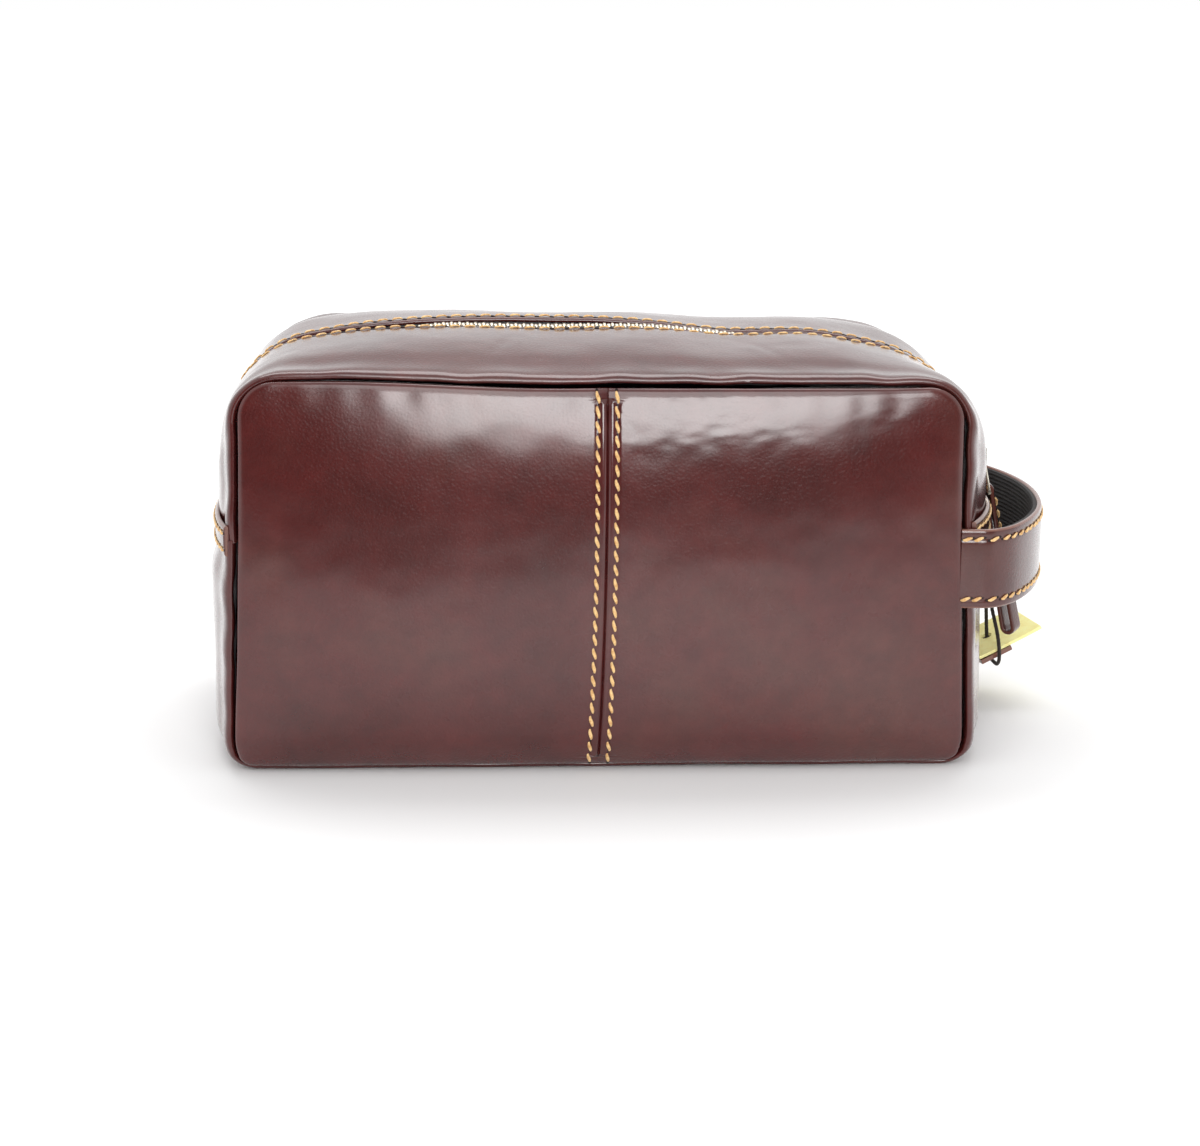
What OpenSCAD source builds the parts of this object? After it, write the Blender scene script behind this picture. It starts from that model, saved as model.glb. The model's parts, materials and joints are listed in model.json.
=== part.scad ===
// Leather shaving kit bag (dopp kit): a boxy zip-top wash bag with a side handle.
// X is the bag's length, Y its depth, Z is up. The origin is the centre of the base.

/* [Panels] */
// Half width of the front and back panels at the top
top_half_w = 111; // [105:1:114]
// Half width of the front and back panels at the bottom
bottom_half_w = 115; // [112:1:118]
// Height of the top seam
seam_h = 123; // [118:1:126]
// Depth of the bag from front seam to back seam
seam_depth = 118; // [114:1:124]
// Radius of the panels' top corners
top_corner_r = 13; // [10:1:16]
// Radius of the panels' bottom corners
bottom_corner_r = 5; // [4:0.5:8]
// How far the front and back panels swell beyond their seams
panel_bulge = 4; // [2:0.5:6]

/* [Gusset] */
// Half width of the bag across the middle of its sides
crest_half_w = 123.5; // [122:0.5:126]
// Radius of the corner that the zip runs round
crest_corner_r = 38; // [36:0.5:40]
// Height where that corner starts
crest_corner_z = 87; // [86:0.5:89]
// Angle of that corner, the rest being the shallow arch of the top
crest_corner_a = 80; // [79:0.5:81]
// Radius of the sides' bottom corners
crest_bottom_r = 14; // [10:1:18]
// Height where the lower gusset meets the zip gusset, under the end bands
join_z = 75; // [74:0.5:76]

/* [Materials] */
// Thickness of the leather
leather_t = 1.6; // [1.2:0.1:1.8]
// Thickness of the lining cloth
lining_t = 0.5; // [0.4:0.1:0.8]
// Thickness of the sewing thread
thread_t = 0.7; // [0.5:0.1:0.9]

/* [Zip] */
// Width of the slot between the two leather edges
zip_slot = 6.4; // [6.2:0.1:7]
// Spacing of the teeth on one tape
tooth_pitch = 2.6; // [2.4:0.1:3]
// Length of a tooth across the zip
tooth_l = 3.8; // [3.6:0.1:3.8]
// Width of a tooth along the zip
tooth_w = 1.1; // [0.9:0.05:1.15]
// Thickness of a tooth
tooth_t = 2.2; // [2:0.1:2.2]

/* [Handle] */
// Width of the handle strap
strap_w = 25; // [20:1:26]
// Height of the strap's lower edge
strap_z = 52.5; // [50:0.5:53]
// Thickness of the webbing inside the strap
webbing_t = 1.2; // [0.8:0.1:1.4]

/* [End bands] */
// Height of a band's lower edge
band_z = 70; // [69:0.5:70.5]
// Width of a band
band_w = 9.5; // [8:0.5:9.5]

/* [Pull and tag] */
// Width of the leather pull
pull_w = 5; // [4:0.5:5]
// Length from the pull's pin to the bottom of its loop
pull_l = 60; // [50:1:60]
// Side of the square hang tag
tag_w = 24; // [20:1:24]
// Diameter of the tag's cord
cord_d = 1.3; // [1:0.1:1.4]

/* [Hidden] */

leather = "#4a2226";
thread = "#c98b45";
cloth = "#2a2526";
tape = "#2c1f1f";
metal = "#c9c6bf";
card = "#d9b36a";
cord = "#241a18";

half_depth = seam_depth / 2;
arch_r = (crest_half_w - crest_corner_r + crest_corner_r * cos(crest_corner_a)) / cos(crest_corner_a);
corner_x = crest_half_w - crest_corner_r;
arch_z = crest_corner_z - (arch_r - crest_corner_r) * sin(crest_corner_a);
// Run of the zip line along the arch, and then round the corner, from the top's middle
arch_run = arch_r * (90 - crest_corner_a) * PI / 180;
corner_run = crest_corner_r * crest_corner_a * PI / 180;

// Outline indices: base middle 0, base corner 3 to 6, join 10, top corner 13 to 19, top middle 29
JOIN = 10;
FLAP = 21;
TOP = 29;
flap_gap = 0.04;
edge_v = (half_depth - leather_t - 0.3) / half_depth;
slot_v = zip_slot / 2 / half_depth;

function mix(a, b, t) = a + (b - a) * t;
function unit(v) = v / norm(v);
function arc(cx, cz, r, a0, a1, n) =
    [for (i = [0:n]) let (a = mix(a0, a1, i / n)) [cx + r * cos(a), cz + r * sin(a)]];
function seam_side(z) =
    mix(bottom_half_w, top_half_w, (z - bottom_corner_r) / (seam_h - top_corner_r - bottom_corner_r));

// Right half of the seam's outline, from the middle of the base to the middle of the top
SEAM = concat(
    [for (i = [0:2]) [(bottom_half_w - bottom_corner_r) * i / 3, 0]],
    arc(bottom_half_w - bottom_corner_r, bottom_corner_r, bottom_corner_r, -90, 0, 3),
    [for (i = [1:4]) let (z = mix(bottom_corner_r, join_z, i / 4)) [seam_side(z), z]],
    [for (i = [1:2]) let (z = mix(join_z, seam_h - top_corner_r, i / 3)) [seam_side(z), z]],
    arc(top_half_w - top_corner_r, seam_h - top_corner_r, top_corner_r, 0, 90, 6),
    [for (i = [1:10]) [(top_half_w - top_corner_r) * (1 - i / 10), seam_h + 0.05 * i]]
);
// Right half of the outline through the zip line, with the same indices
CREST = concat(
    [for (i = [0:2]) [(crest_half_w - crest_bottom_r) * i / 3, 0]],
    arc(crest_half_w - crest_bottom_r, crest_bottom_r, crest_bottom_r, -90, 0, 3),
    [for (i = [1:4]) [crest_half_w, mix(crest_bottom_r, join_z, i / 4)]],
    [for (i = [1:2]) [crest_half_w, mix(join_z, crest_corner_z, i / 3)]],
    arc(corner_x, crest_corner_z, crest_corner_r, 0, crest_corner_a, 6),
    [for (i = [1:10]) let (a = mix(crest_corner_a, 90, i / 10)) [arch_r * cos(a), arch_z + arch_r * sin(a)]]
);

// Point of an outline at any index: below 0 and above TOP it is on the left half
function whole(list, k) = k < 0 ? [-list[-k].x, list[-k].y]
    : k > TOP ? [-list[2 * TOP - k].x, list[2 * TOP - k].y] : list[k];
function outline(list, k) =
    let (f = floor(k)) k == f ? whole(list, k) : mix(whole(list, f), whole(list, f + 1), k - f);
// Gusset surface: v runs from -1 at the front seam to 1 at the back seam
function skin(k, v) =
    let (s = outline(SEAM, k), c = outline(CREST, k), p = mix(s, c, 1 - pow(abs(v), 3)))
    [p.x, v * half_depth, p.y];
function skin_normal(k, v) =
    unit(cross(skin(k, v + 0.01) - skin(k, v - 0.01), skin(k + 1, v) - skin(k - 1, v)));
function under_skin(k, v, d) = skin(k, v) - d * skin_normal(k, v);

// Swell of the front panel at a point, and its outward normal
function swell(x, z) = half_depth
    + panel_bulge * (1 - pow(x / seam_side(z), 4)) * (1 - pow((z - seam_h / 2) / (seam_h / 2 + 0.6), 4));
function swell_normal(x, z) = -unit([swell(x + 0.1, z) - swell(x - 0.1, z), 0.2, swell(x, z + 0.1) - swell(x, z - 0.1)]);
function panel_point(x, z, d) = [x, -swell(x, z), z] - d * swell_normal(x, z);

// Point and outward angle of the zip line at a run s from the top's middle, right half
function zip_angle(s) = s <= arch_run ? 90 - s / arch_r * 180 / PI
    : max(0, crest_corner_a - (s - arch_run) / crest_corner_r * 180 / PI);
function zip_point(s) = let (a = zip_angle(s))
    s <= arch_run ? [arch_r * cos(a), arch_z + arch_r * sin(a)]
    : [corner_x + crest_corner_r * cos(a),
       crest_corner_z + crest_corner_r * sin(a) - max(0, s - arch_run - corner_run)];

// Smooth curve through hand-placed points
function spline_point(p, i, t) =
    let (n = len(p) - 1, a = p[max(i - 1, 0)], b = p[i], c = p[i + 1], d = p[min(i + 2, n)])
    0.5 * (2 * b + (c - a) * t + (2 * a - 5 * b + 4 * c - d) * t * t + (3 * b - a - 3 * c + d) * t * t * t);
function spline(p, steps) = concat(
    [for (i = [0:len(p) - 2]) for (j = [0:steps - 1]) spline_point(p, i, j / steps)], [p[len(p) - 1]]);
function tangent(c, i) = unit(c[min(i + 1, len(c) - 1)] - c[max(i - 1, 0)]);
function side_of(t) = [t.y, -t.x];
function run_to(c, i) = i == 0 ? 0 : run_to(c, i - 1) + norm(c[i] - c[i - 1]);

// Handle's centre line in plan, from the front seam to the back seam
HANDLE = [
    [110.5, -57.3], [114.5, -57.6], [120.5, -57.2], [127.5, -51.5], [135, -39], [140.4, -23.5],
    [142.6, -6], [141.8, 10], [138.2, 25.5], [132.5, 39], [126, 50.5], [119.5, 56.6], [110.5, 57.3]
];
handle_line = spline(HANDLE, 4);

// Slider, on the corner that the zip runs round
slider_a = [-7, 8];
pin_a = -1;
pin_r = crest_corner_r + 3.1;
pin_x = corner_x + pin_r * cos(pin_a);
pin_z = crest_corner_z + pin_r * sin(pin_a);
pull_tilt = 12;
link_half_w = 5.2;
link_l = 9.5;
wire_r = 0.6;

// Hang tag and its cord
tag_corner = [151.5, 10, 26];
tag_turn = [0, -22.5, 13.3];
tag_t = 1.2;
sample_t = 1.5;
hole_at = [-15.3, 13];
knot_at = [129.7, 4.5, 74.5];
knot_r = 1.5;
CORD = [
    [129, 5.3, 73.4], [129.3, 5.9, 68], [130.3, 8, 58], [131.5, 11, 47], [132.8, 14.5, 36], [134, 18, 26],
    [134.6, 19.6, 21.5], [134.9, 19.5, 18.4], [135.2, 17.9, 15.7], [135.5, 14.8, 14.4], [135.8, 11, 14.2],
    [136, 7, 14.7], [136.1, 4.3, 16.7], [136, 3.8, 20], [135.2, 4.2, 26], [133, 4.4, 35],
    [130.4, 4.4, 47], [129.7, 4.2, 60], [130.4, 3.8, 73.4]
];
cord_line = spline(CORD, 4);

// ---------- shared shapes ----------

// Closed slab between two grids of points, rows by columns
module slab(outer, inner) {
    rows = len(outer);
    cols = len(outer[0]);
    far = rows * cols;
    r = rows - 1;
    c = cols - 1;
    faces = concat(
        [for (i = [0:r - 1], j = [0:c - 1]) each let (a = i * cols + j) [
            [a, a + cols, a + cols + 1], [a, a + cols + 1, a + 1],
            [far + a, far + a + cols + 1, far + a + cols], [far + a, far + a + 1, far + a + cols + 1]]],
        [for (i = [0:r - 1]) each let (a = i * cols, b = a + cols, e = a + c, f = b + c) [
            [b, a, far + a], [b, far + a, far + b], [e, f, far + f], [e, far + f, far + e]]],
        [for (j = [0:c - 1]) each let (a = j, b = j + 1, e = r * cols + j, f = e + 1) [
            [a, b, far + b], [a, far + b, far + a], [f, e, far + e], [f, far + e, far + f]]]
    );
    polyhedron(concat([for (row = outer) each row], [for (row = inner) each row]), faces, convexity = 6);
}

// Sheet that follows the gusset at a depth d under its surface
module gusset_sheet(k0, k1, vs, d, t) {
    ks = [for (i = [0:round(k1 - k0)]) mix(k0, k1, i / round(k1 - k0))];
    slab([for (k = ks) [for (v = vs) under_skin(k, v, d)]],
         [for (k = ks) [for (v = vs) under_skin(k, v, d + t)]]);
}

// Places its children on the zip line: local X along it, local Z outward
module on_zip(s, y) {
    p = zip_point(abs(s));
    mirror([s < 0 ? 1 : 0, 0, 0])
        translate([p.x, y, p.y])
            rotate([0, 90 - zip_angle(abs(s)), 0])
                children();
}

module stitch(length) {
    cube([length, thread_t * 1.3, thread_t], center = true);
}

// Grid columns across the front half of the gusset, from one v to another
function across(v0, v1, n) = [for (i = [0:n]) mix(v0, v1, i / n)];
full_v = concat([-edge_v], across(-0.9, 0.9, 10), [edge_v]);
front_v = concat([-edge_v], across(-0.88, -slot_v, 6));

// Half of the front panel or its lining, on the right
module half_panel(inset, d, t) {
    cols = 6;
    grid = [for (i = [0:TOP]) let (m = [0.2, mix(6, seam_h - 6, i / TOP)], o = SEAM[i],
            w = [max(0.2, o.x * (1 - inset / top_half_w)), seam_h / 2 + (o.y - seam_h / 2) * (1 - inset / 60)])
        [for (j = [0:cols]) mix(m, w, j / cols)]];
    slab([for (row = grid) [for (p = row) panel_point(p.x, p.y, d)]],
         [for (row = grid) [for (p = row) panel_point(p.x, p.y, d + t)]]);
}

// ---------- front and back panels ----------

seam_row_x = 3.2;
seam_stitch = 3.6;
seam_pitch = 4.4;

module front_panel_right() color(leather) half_panel(0, 0, leather_t);
module front_panel_left() mirror([1, 0, 0]) front_panel_right();
module back_panel_right() mirror([0, 1, 0]) front_panel_right();
module back_panel_left() mirror([0, 1, 0]) front_panel_left();

module front_seam_tape() color(cloth) {
    zs = across(5, seam_h - 5, 12);
    xs = across(-6, 6, 2);
    slab([for (z = zs) [for (x = xs) panel_point(x, z, leather_t + 0.3)]],
         [for (z = zs) [for (x = xs) panel_point(x, z, leather_t + 0.8)]]);
}
module back_seam_tape() mirror([0, 1, 0]) front_seam_tape();

module front_seam_thread() color(thread)
    for (x = [-seam_row_x, seam_row_x], i = [0:floor((seam_h - 8) / seam_pitch)])
        let (z = 5 + i * seam_pitch, slope = atan(swell(x, z + 0.5) - swell(x, z - 0.5)))
            translate(panel_point(x, z, -thread_t / 2 - 0.12))
                rotate([slope, 0, 0])
                    rotate([0, 80, 0])
                        stitch(seam_stitch);
module back_seam_thread() mirror([0, 1, 0]) front_seam_thread();

// ---------- lower gusset ----------

module base_gusset() color(leather) gusset_sheet(-JOIN, JOIN, full_v, 0, leather_t);

module base_board() color("#6f6455")
    translate([-104, -52, leather_t + 0.3])
        cube([208, 104, 1.4]);

// ---------- zip gusset ----------

module gusset_end_right_front() color(leather) gusset_sheet(JOIN, FLAP, front_v, 0, leather_t);
module gusset_end_right_back() mirror([0, 1, 0]) gusset_end_right_front();
module gusset_end_left_front() mirror([1, 0, 0]) gusset_end_right_front();
module gusset_end_left_back() mirror([1, 0, 0]) gusset_end_right_back();
module zip_gusset_front() color(leather)
    gusset_sheet(FLAP + flap_gap, 2 * TOP - FLAP - flap_gap, front_v, 0, leather_t);
module zip_gusset_back() mirror([0, 1, 0]) zip_gusset_front();

// Run of the zip line where the flaps end, and where the leather reaches the bands
flap_run = arch_r * (90 - crest_corner_a) * (1 - (FLAP - 19) / 10) * PI / 180;
join_run = arch_run + corner_run + crest_corner_z - band_z - band_w;
zip_stitch = 3.9;
zip_stitch_pitch = 4.7;
zip_stitch_y = zip_slot / 2 + 2.6;

module zip_stitches(from, to, y) {
    n = floor((to - from) / zip_stitch_pitch);
    for (i = [0:n - 1])
        on_zip(from + (i + 0.5) * (to - from) / n, y)
            translate([0, 0, thread_t / 2 + 0.12])
                rotate([0, 0, -8])
                    stitch(zip_stitch);
}
module zip_thread_front() color(thread) zip_stitches(-flap_run, flap_run, -zip_stitch_y);
module zip_thread_back() mirror([0, 1, 0]) zip_thread_front();
module gusset_end_thread() color(thread)
    for (y = [-1, 1], x = [0, 1])
        mirror([x, 0, 0]) zip_stitches(flap_run, join_run, y * zip_stitch_y);

// ---------- zip ----------

tape_d = leather_t + 0.2;
tape_v = across(-12 / half_depth, -1 / half_depth, 2);

module zip_tape_front() color(tape)
    gusset_sheet(FLAP + flap_gap, 2 * TOP - FLAP - flap_gap, tape_v, tape_d, 0.5);
module zip_tape_back() mirror([0, 1, 0]) zip_tape_front();
module zip_tape_end_right() color(tape)
    for (y = [0, 1])
        mirror([0, y, 0]) gusset_sheet(JOIN, FLAP, tape_v, tape_d, 0.5);
module zip_tape_end_left() mirror([1, 0, 0]) zip_tape_end_right();

tooth_top = tape_d + 0.25 - tooth_t / 2;
tooth_far = zip_slot / 2 - 0.3;

// Teeth of one side, from one run to another; side -1 is the front
module teeth(from, to, side) {
    first = ceil((from + (side < 0 ? 0 : tooth_pitch / 2)) / tooth_pitch - (side < 0 ? 0 : 0.5));
    for (i = [first:floor(to / tooth_pitch - 0.5)])
        let (s = (i + (side < 0 ? 0 : 0.5)) * tooth_pitch)
            on_zip(s, side * (tooth_far - tooth_l / 2))
                translate([0, 0, -tooth_top - tooth_t / 2])
                    cube([tooth_w, tooth_l, tooth_t], center = true);
}
chain_gap = 0.8;
module zip_teeth_front() color(metal) teeth(-flap_run + chain_gap, flap_run - chain_gap, -1);
module zip_teeth_back() color(metal) teeth(-flap_run + chain_gap, flap_run - chain_gap, 1);
module chain_end(to) {
    teeth(flap_run + chain_gap, to, -1);
    teeth(flap_run + chain_gap, to, 1);
}
module zip_teeth_end_right() color(metal) chain_end(arch_run + corner_run - 1.2);
module zip_teeth_end_left() color(metal) mirror([1, 0, 0]) chain_end(arch_run + corner_run + 3);

module zip_stops() color(metal)
    for (x = [0, 1])
        mirror([x, 0, 0])
            on_zip(arch_run + corner_run + 6, 0)
                translate([0, 0, -tape_d - 0.25])
                    difference() {
                        cube([1.6, 5.2, tooth_t], center = true);
                        cube([2, 1.8, 0.8], center = true);
                        for (y = [-1, 1])
                            translate([0, y * 2.6, 0])
                                cube([2, 3.4, 0.7], center = true);
                    }

// ---------- slider ----------

// Part of a ring about the corner's axis, between two radii and two angles
module ring_part(r0, r1, y0, y1, a0, a1) {
    translate([corner_x, 0, crest_corner_z])
        rotate([90, 0, 0])
            rotate([0, 0, a0])
                rotate_extrude(angle = a1 - a0, $fn = 180)
                    translate([crest_corner_r + r0, -y1])
                        square([r1 - r0, y1 - y0]);
}
plate_half_w = 3.1;
base_half_w = 4.5;
bridge_half_w = 0.8;
module slider_body() color(metal) {
    ring_part(0.4, 1.6, -plate_half_w, plate_half_w, slider_a[0], slider_a[1]);
    ring_part(-5.4, -4.2, -base_half_w, base_half_w, slider_a[0], slider_a[1]);
    ring_part(-4.3, 0.5, -bridge_half_w, bridge_half_w, slider_a[0], slider_a[0] + 4.5);
    for (y = [-base_half_w, base_half_w - bridge_half_w])
        ring_part(-4.3, -2.8, y, y + bridge_half_w, slider_a[0], slider_a[1]);
}
module slider_bridge() color(metal) {
    ring_part(1.6, 4.7, -bridge_half_w, bridge_half_w, -5, -3.2);
    ring_part(1.6, 4.7, -bridge_half_w, bridge_half_w, 3.6, 5.4);
    ring_part(3.9, 4.7, -bridge_half_w, bridge_half_w, -5, 5.4);
}

// ---------- pull ----------

// Pull's own frame: origin on its pin, local -Z down the pull
module on_pull() {
    translate([pin_x, 0, pin_z])
        rotate([0, -pull_tilt, 0])
            children();
}
module rod_y(half, r) {
    rotate([90, 0, 0])
        cylinder(h = 2 * half, r = r, center = true, $fn = 24);
}
module pull_link() color(metal)
    on_pull() {
        for (z = [0, -link_l])
            translate([0, 0, z])
                rod_y(link_half_w + wire_r, wire_r);
        for (y = [-link_half_w, link_half_w])
            translate([0, y, -link_l])
                cylinder(h = link_l, r = wire_r, $fn = 24);
    }

loop_t = 1.3;
eye_r = wire_r + 0.2;
bulb_r = 1.2;
module loop_profile(grow) {
    hull() {
        circle(r = eye_r + grow, $fn = 28);
        translate([0, -(pull_l - link_l - bulb_r - loop_t)])
            circle(r = bulb_r + grow, $fn = 28);
    }
}
module leather_pull() color(leather)
    on_pull()
        translate([0, 0, -link_l])
            rotate([90, 0, 0])
                linear_extrude(pull_w, center = true)
                    difference() {
                        loop_profile(loop_t);
                        loop_profile(0);
                    }
module pull_thread() color(thread)
    on_pull()
        for (y = [-1.4, 1.4], i = [0:1])
            translate([eye_r + loop_t + thread_t / 2 + 0.35, y, -link_l - 4 - 4 * i])
                rotate([0, 90, 0])
                    stitch(3);

// ---------- hang tag ----------

module hang_tag() color(card)
    translate(tag_corner)
        rotate(tag_turn)
            linear_extrude(tag_t)
                difference() {
                    translate([-tag_w, 0])
                        square(tag_w);
                    translate(hole_at)
                        circle(r = 2, $fn = 32);
                }
module tag_sample() color(leather)
    translate(tag_corner)
        rotate(tag_turn)
            translate([0, 0, -sample_t - 0.2])
                linear_extrude(sample_t)
                    difference() {
                        translate([-tag_w, -0.6])
                            square([11.6, 18]);
                        translate(hole_at)
                            circle(r = 2, $fn = 32);
                    }
module tag_knot() color(cord)
    translate(knot_at)
        difference() {
            sphere(r = knot_r, $fn = 32);
            translate([0, 0, -knot_r - 0.9])
                cube(2 * knot_r, center = true);
        }

// Round tube along a line, one ring of points at each of its points
module tube(line, r, sides) {
    n = len(line) - 1;
    rings = [for (i = [0:n]) let (t = tangent(line, i), a = unit(cross(t, [1, 0, 0.05])), b = cross(t, a))
        [for (j = [0:sides - 1]) line[i] + r * (a * cos(j * 360 / sides) + b * sin(j * 360 / sides))]];
    faces = concat(
        [for (i = [0:n - 1], j = [0:sides - 1]) each let (a = i * sides, k = (j + 1) % sides)
            [[a + j, a + sides + j, a + sides + k], [a + j, a + sides + k, a + k]]],
        [[for (j = [0:sides - 1]) j], [for (j = [0:sides - 1]) n * sides + sides - 1 - j]]
    );
    polyhedron([for (ring = rings) each ring], faces, convexity = 8);
}
module tag_cord() color(cord) tube(cord_line, cord_d / 2, 8);

// ---------- end bands ----------

band_top_gap = 0.7;
module end_band_right() color(leather) {
    zs = across(band_z, band_z + band_w, 2);
    vs = across(-0.935, 0.935, 14);
    lift = function (z) mix(0.25, band_top_gap, pow((z - band_z) / band_w, 2));
    out = function (z, v, d) let (x = mix(seam_side(z), crest_half_w, 1 - pow(abs(v), 3)),
            n = unit([half_depth, 3 * v * abs(v) * (crest_half_w - seam_side(z)), 0]))
        [x, v * half_depth, z] + d * n;
    slab([for (z = zs) [for (v = vs) out(z, v, lift(z) + leather_t - 0.2)]],
         [for (z = zs) [for (v = vs) out(z, v, lift(z))]]);
}
module end_band_left() mirror([1, 0, 0]) end_band_right();
module band_thread() color(thread)
    for (m = [0, 1], z = [band_z + 2, band_z + band_w - 2], i = [-11:11])
        let (y = i * 4.4, v = y / half_depth, x = mix(seam_side(z), crest_half_w, 1 - pow(abs(v), 3)),
             a = atan2(3 * v * abs(v) * (crest_half_w - seam_side(z)), half_depth))
            mirror([m, 0, 0])
                translate([x, y, z])
                    rotate([0, 0, a])
                        translate([band_top_gap + leather_t - 0.15 + thread_t / 2, 0, 0])
                            cube([thread_t, 3.5, thread_t * 1.3], center = true);

// ---------- handle ----------

// Flat strip beside the handle's centre line, from one offset to another
module handle_strip(from, to) {
    n = len(handle_line) - 1;
    a = [for (i = [0:n]) handle_line[i] + side_of(tangent(handle_line, i)) * from];
    b = [for (i = [n:-1:0]) handle_line[i] + side_of(tangent(handle_line, i)) * to];
    translate([0, 0, strap_z])
        linear_extrude(strap_w)
            polygon(concat(a, b));
}
module handle_strap() color(leather) handle_strip(0, leather_t);
module handle_webbing() color(tape) handle_strip(-webbing_t, 0);

handle_runs = [for (i = [0:len(handle_line) - 1]) run_to(handle_line, i)];
handle_length = handle_runs[len(handle_runs) - 1];
handle_stitches = floor((handle_length - 8) / 4);
module handle_thread() color(thread) {
    xs = [for (i = [0:len(handle_line) - 1]) [handle_runs[i], handle_line[i].x]];
    ys = [for (i = [0:len(handle_line) - 1]) [handle_runs[i], handle_line[i].y]];
    for (z = [strap_z + 3, strap_z + strap_w - 3], i = [0:handle_stitches])
        let (s = 5 + 4 * i, p = [lookup(s, xs), lookup(s, ys)],
             t = unit([lookup(s + 1, xs), lookup(s + 1, ys)] - [lookup(s - 1, xs), lookup(s - 1, ys)]),
             o = p + side_of(t) * (leather_t + thread_t / 2 + 0.15))
            translate([o.x, o.y, z])
                rotate([0, 0, atan2(t.y, t.x)])
                    rotate([90, 0, 0])
                        rotate([0, 0, 8])
                            stitch(3.3);
}

// ---------- lining and bindings ----------

lining_d = leather_t + 2;
lining_v = 0.92;
module lining_half() color(cloth) half_panel(3.8, leather_t + 1.1, lining_t);
module lining_front() {
    lining_half();
    mirror([1, 0, 0]) lining_half();
}
module lining_back() mirror([0, 1, 0]) lining_front();
module lining_base() color(cloth)
    gusset_sheet(-JOIN, JOIN, across(-lining_v, lining_v, 8), lining_d, lining_t);
module lining_end_right() color(cloth)
    for (y = [0, 1])
        mirror([0, y, 0]) gusset_sheet(JOIN, FLAP, across(-lining_v, -0.2, 4), lining_d, lining_t);
module lining_end_left() mirror([1, 0, 0]) lining_end_right();
module lining_top_front() color(cloth)
    gusset_sheet(FLAP + flap_gap, 2 * TOP - FLAP - flap_gap, across(-lining_v, -0.2, 4), lining_d, lining_t);
module lining_top_back() mirror([0, 1, 0]) lining_top_front();

// Seam's outline as a flat shape, drawn in by a margin
module seam_shape(inset) {
    half = [for (p = SEAM) [p.x * (1 - inset / top_half_w), seam_h / 2 + (p.y - seam_h / 2) * (1 - inset / 61)]];
    polygon(concat(half, [for (i = [TOP - 1:-1:1]) [-half[i].x, half[i].y]]));
}
module seam_binding_front() color(cloth)
    translate([0, 0.9 - half_depth + 3.6, 0])
        rotate([90, 0, 0])
            linear_extrude(0.8)
                difference() {
                    seam_shape(2.2);
                    seam_shape(8);
                }
module seam_binding_back() mirror([0, 1, 0]) seam_binding_front();

front_panel_left();
front_panel_right();
back_panel_left();
back_panel_right();
front_seam_tape();
back_seam_tape();
front_seam_thread();
back_seam_thread();
base_gusset();
base_board();
gusset_end_left_front();
gusset_end_left_back();
gusset_end_right_front();
gusset_end_right_back();
gusset_end_thread();
end_band_left();
end_band_right();
band_thread();
handle_strap();
handle_webbing();
handle_thread();
zip_gusset_front();
zip_gusset_back();
zip_thread_front();
zip_thread_back();
zip_tape_front();
zip_tape_back();
zip_tape_end_left();
zip_tape_end_right();
zip_teeth_front();
zip_teeth_back();
zip_teeth_end_left();
zip_teeth_end_right();
zip_stops();
slider_body();
slider_bridge();
pull_link();
leather_pull();
pull_thread();
tag_knot();
tag_cord();
hang_tag();
tag_sample();
lining_front();
lining_back();
lining_base();
lining_end_left();
lining_end_right();
lining_top_front();
lining_top_back();
seam_binding_front();
seam_binding_back();
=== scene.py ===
"""Looks of the leather shaving kit bag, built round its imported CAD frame. Everything is in metres."""

import json
import math

import bpy
import numpy as np
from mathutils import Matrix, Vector, noise


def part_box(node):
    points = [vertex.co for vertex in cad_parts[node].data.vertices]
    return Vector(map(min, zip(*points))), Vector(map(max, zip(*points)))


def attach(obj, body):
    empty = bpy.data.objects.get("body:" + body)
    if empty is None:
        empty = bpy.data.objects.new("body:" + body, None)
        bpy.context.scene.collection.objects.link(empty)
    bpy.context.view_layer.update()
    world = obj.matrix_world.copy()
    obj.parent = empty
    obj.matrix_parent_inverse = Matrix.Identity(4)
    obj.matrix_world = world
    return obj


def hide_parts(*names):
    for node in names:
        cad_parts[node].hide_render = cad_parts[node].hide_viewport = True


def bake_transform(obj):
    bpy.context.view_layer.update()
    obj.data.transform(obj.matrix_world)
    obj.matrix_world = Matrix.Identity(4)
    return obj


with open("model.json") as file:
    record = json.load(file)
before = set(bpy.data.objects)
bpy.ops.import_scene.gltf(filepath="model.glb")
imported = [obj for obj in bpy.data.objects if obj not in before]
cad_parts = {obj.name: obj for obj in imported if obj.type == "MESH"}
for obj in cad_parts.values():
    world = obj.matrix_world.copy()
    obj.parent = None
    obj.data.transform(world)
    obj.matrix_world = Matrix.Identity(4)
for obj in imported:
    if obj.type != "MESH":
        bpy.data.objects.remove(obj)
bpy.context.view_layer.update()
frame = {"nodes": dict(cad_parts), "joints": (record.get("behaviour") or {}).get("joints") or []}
MM = 0.001

# ---- camera

camera = bpy.data.objects.new("camera", bpy.data.cameras.new("camera"))
bpy.context.scene.collection.objects.link(camera)
camera.data.lens = 71.02
camera.data.sensor_width = 36.0
camera.location = (-0.0182, -0.759, 0.2463)
camera.rotation_euler = (math.radians(90 - 14.55), 0, math.radians(-1.46))
bpy.context.scene.camera = camera

# ---- sizes, from the frame

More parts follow.
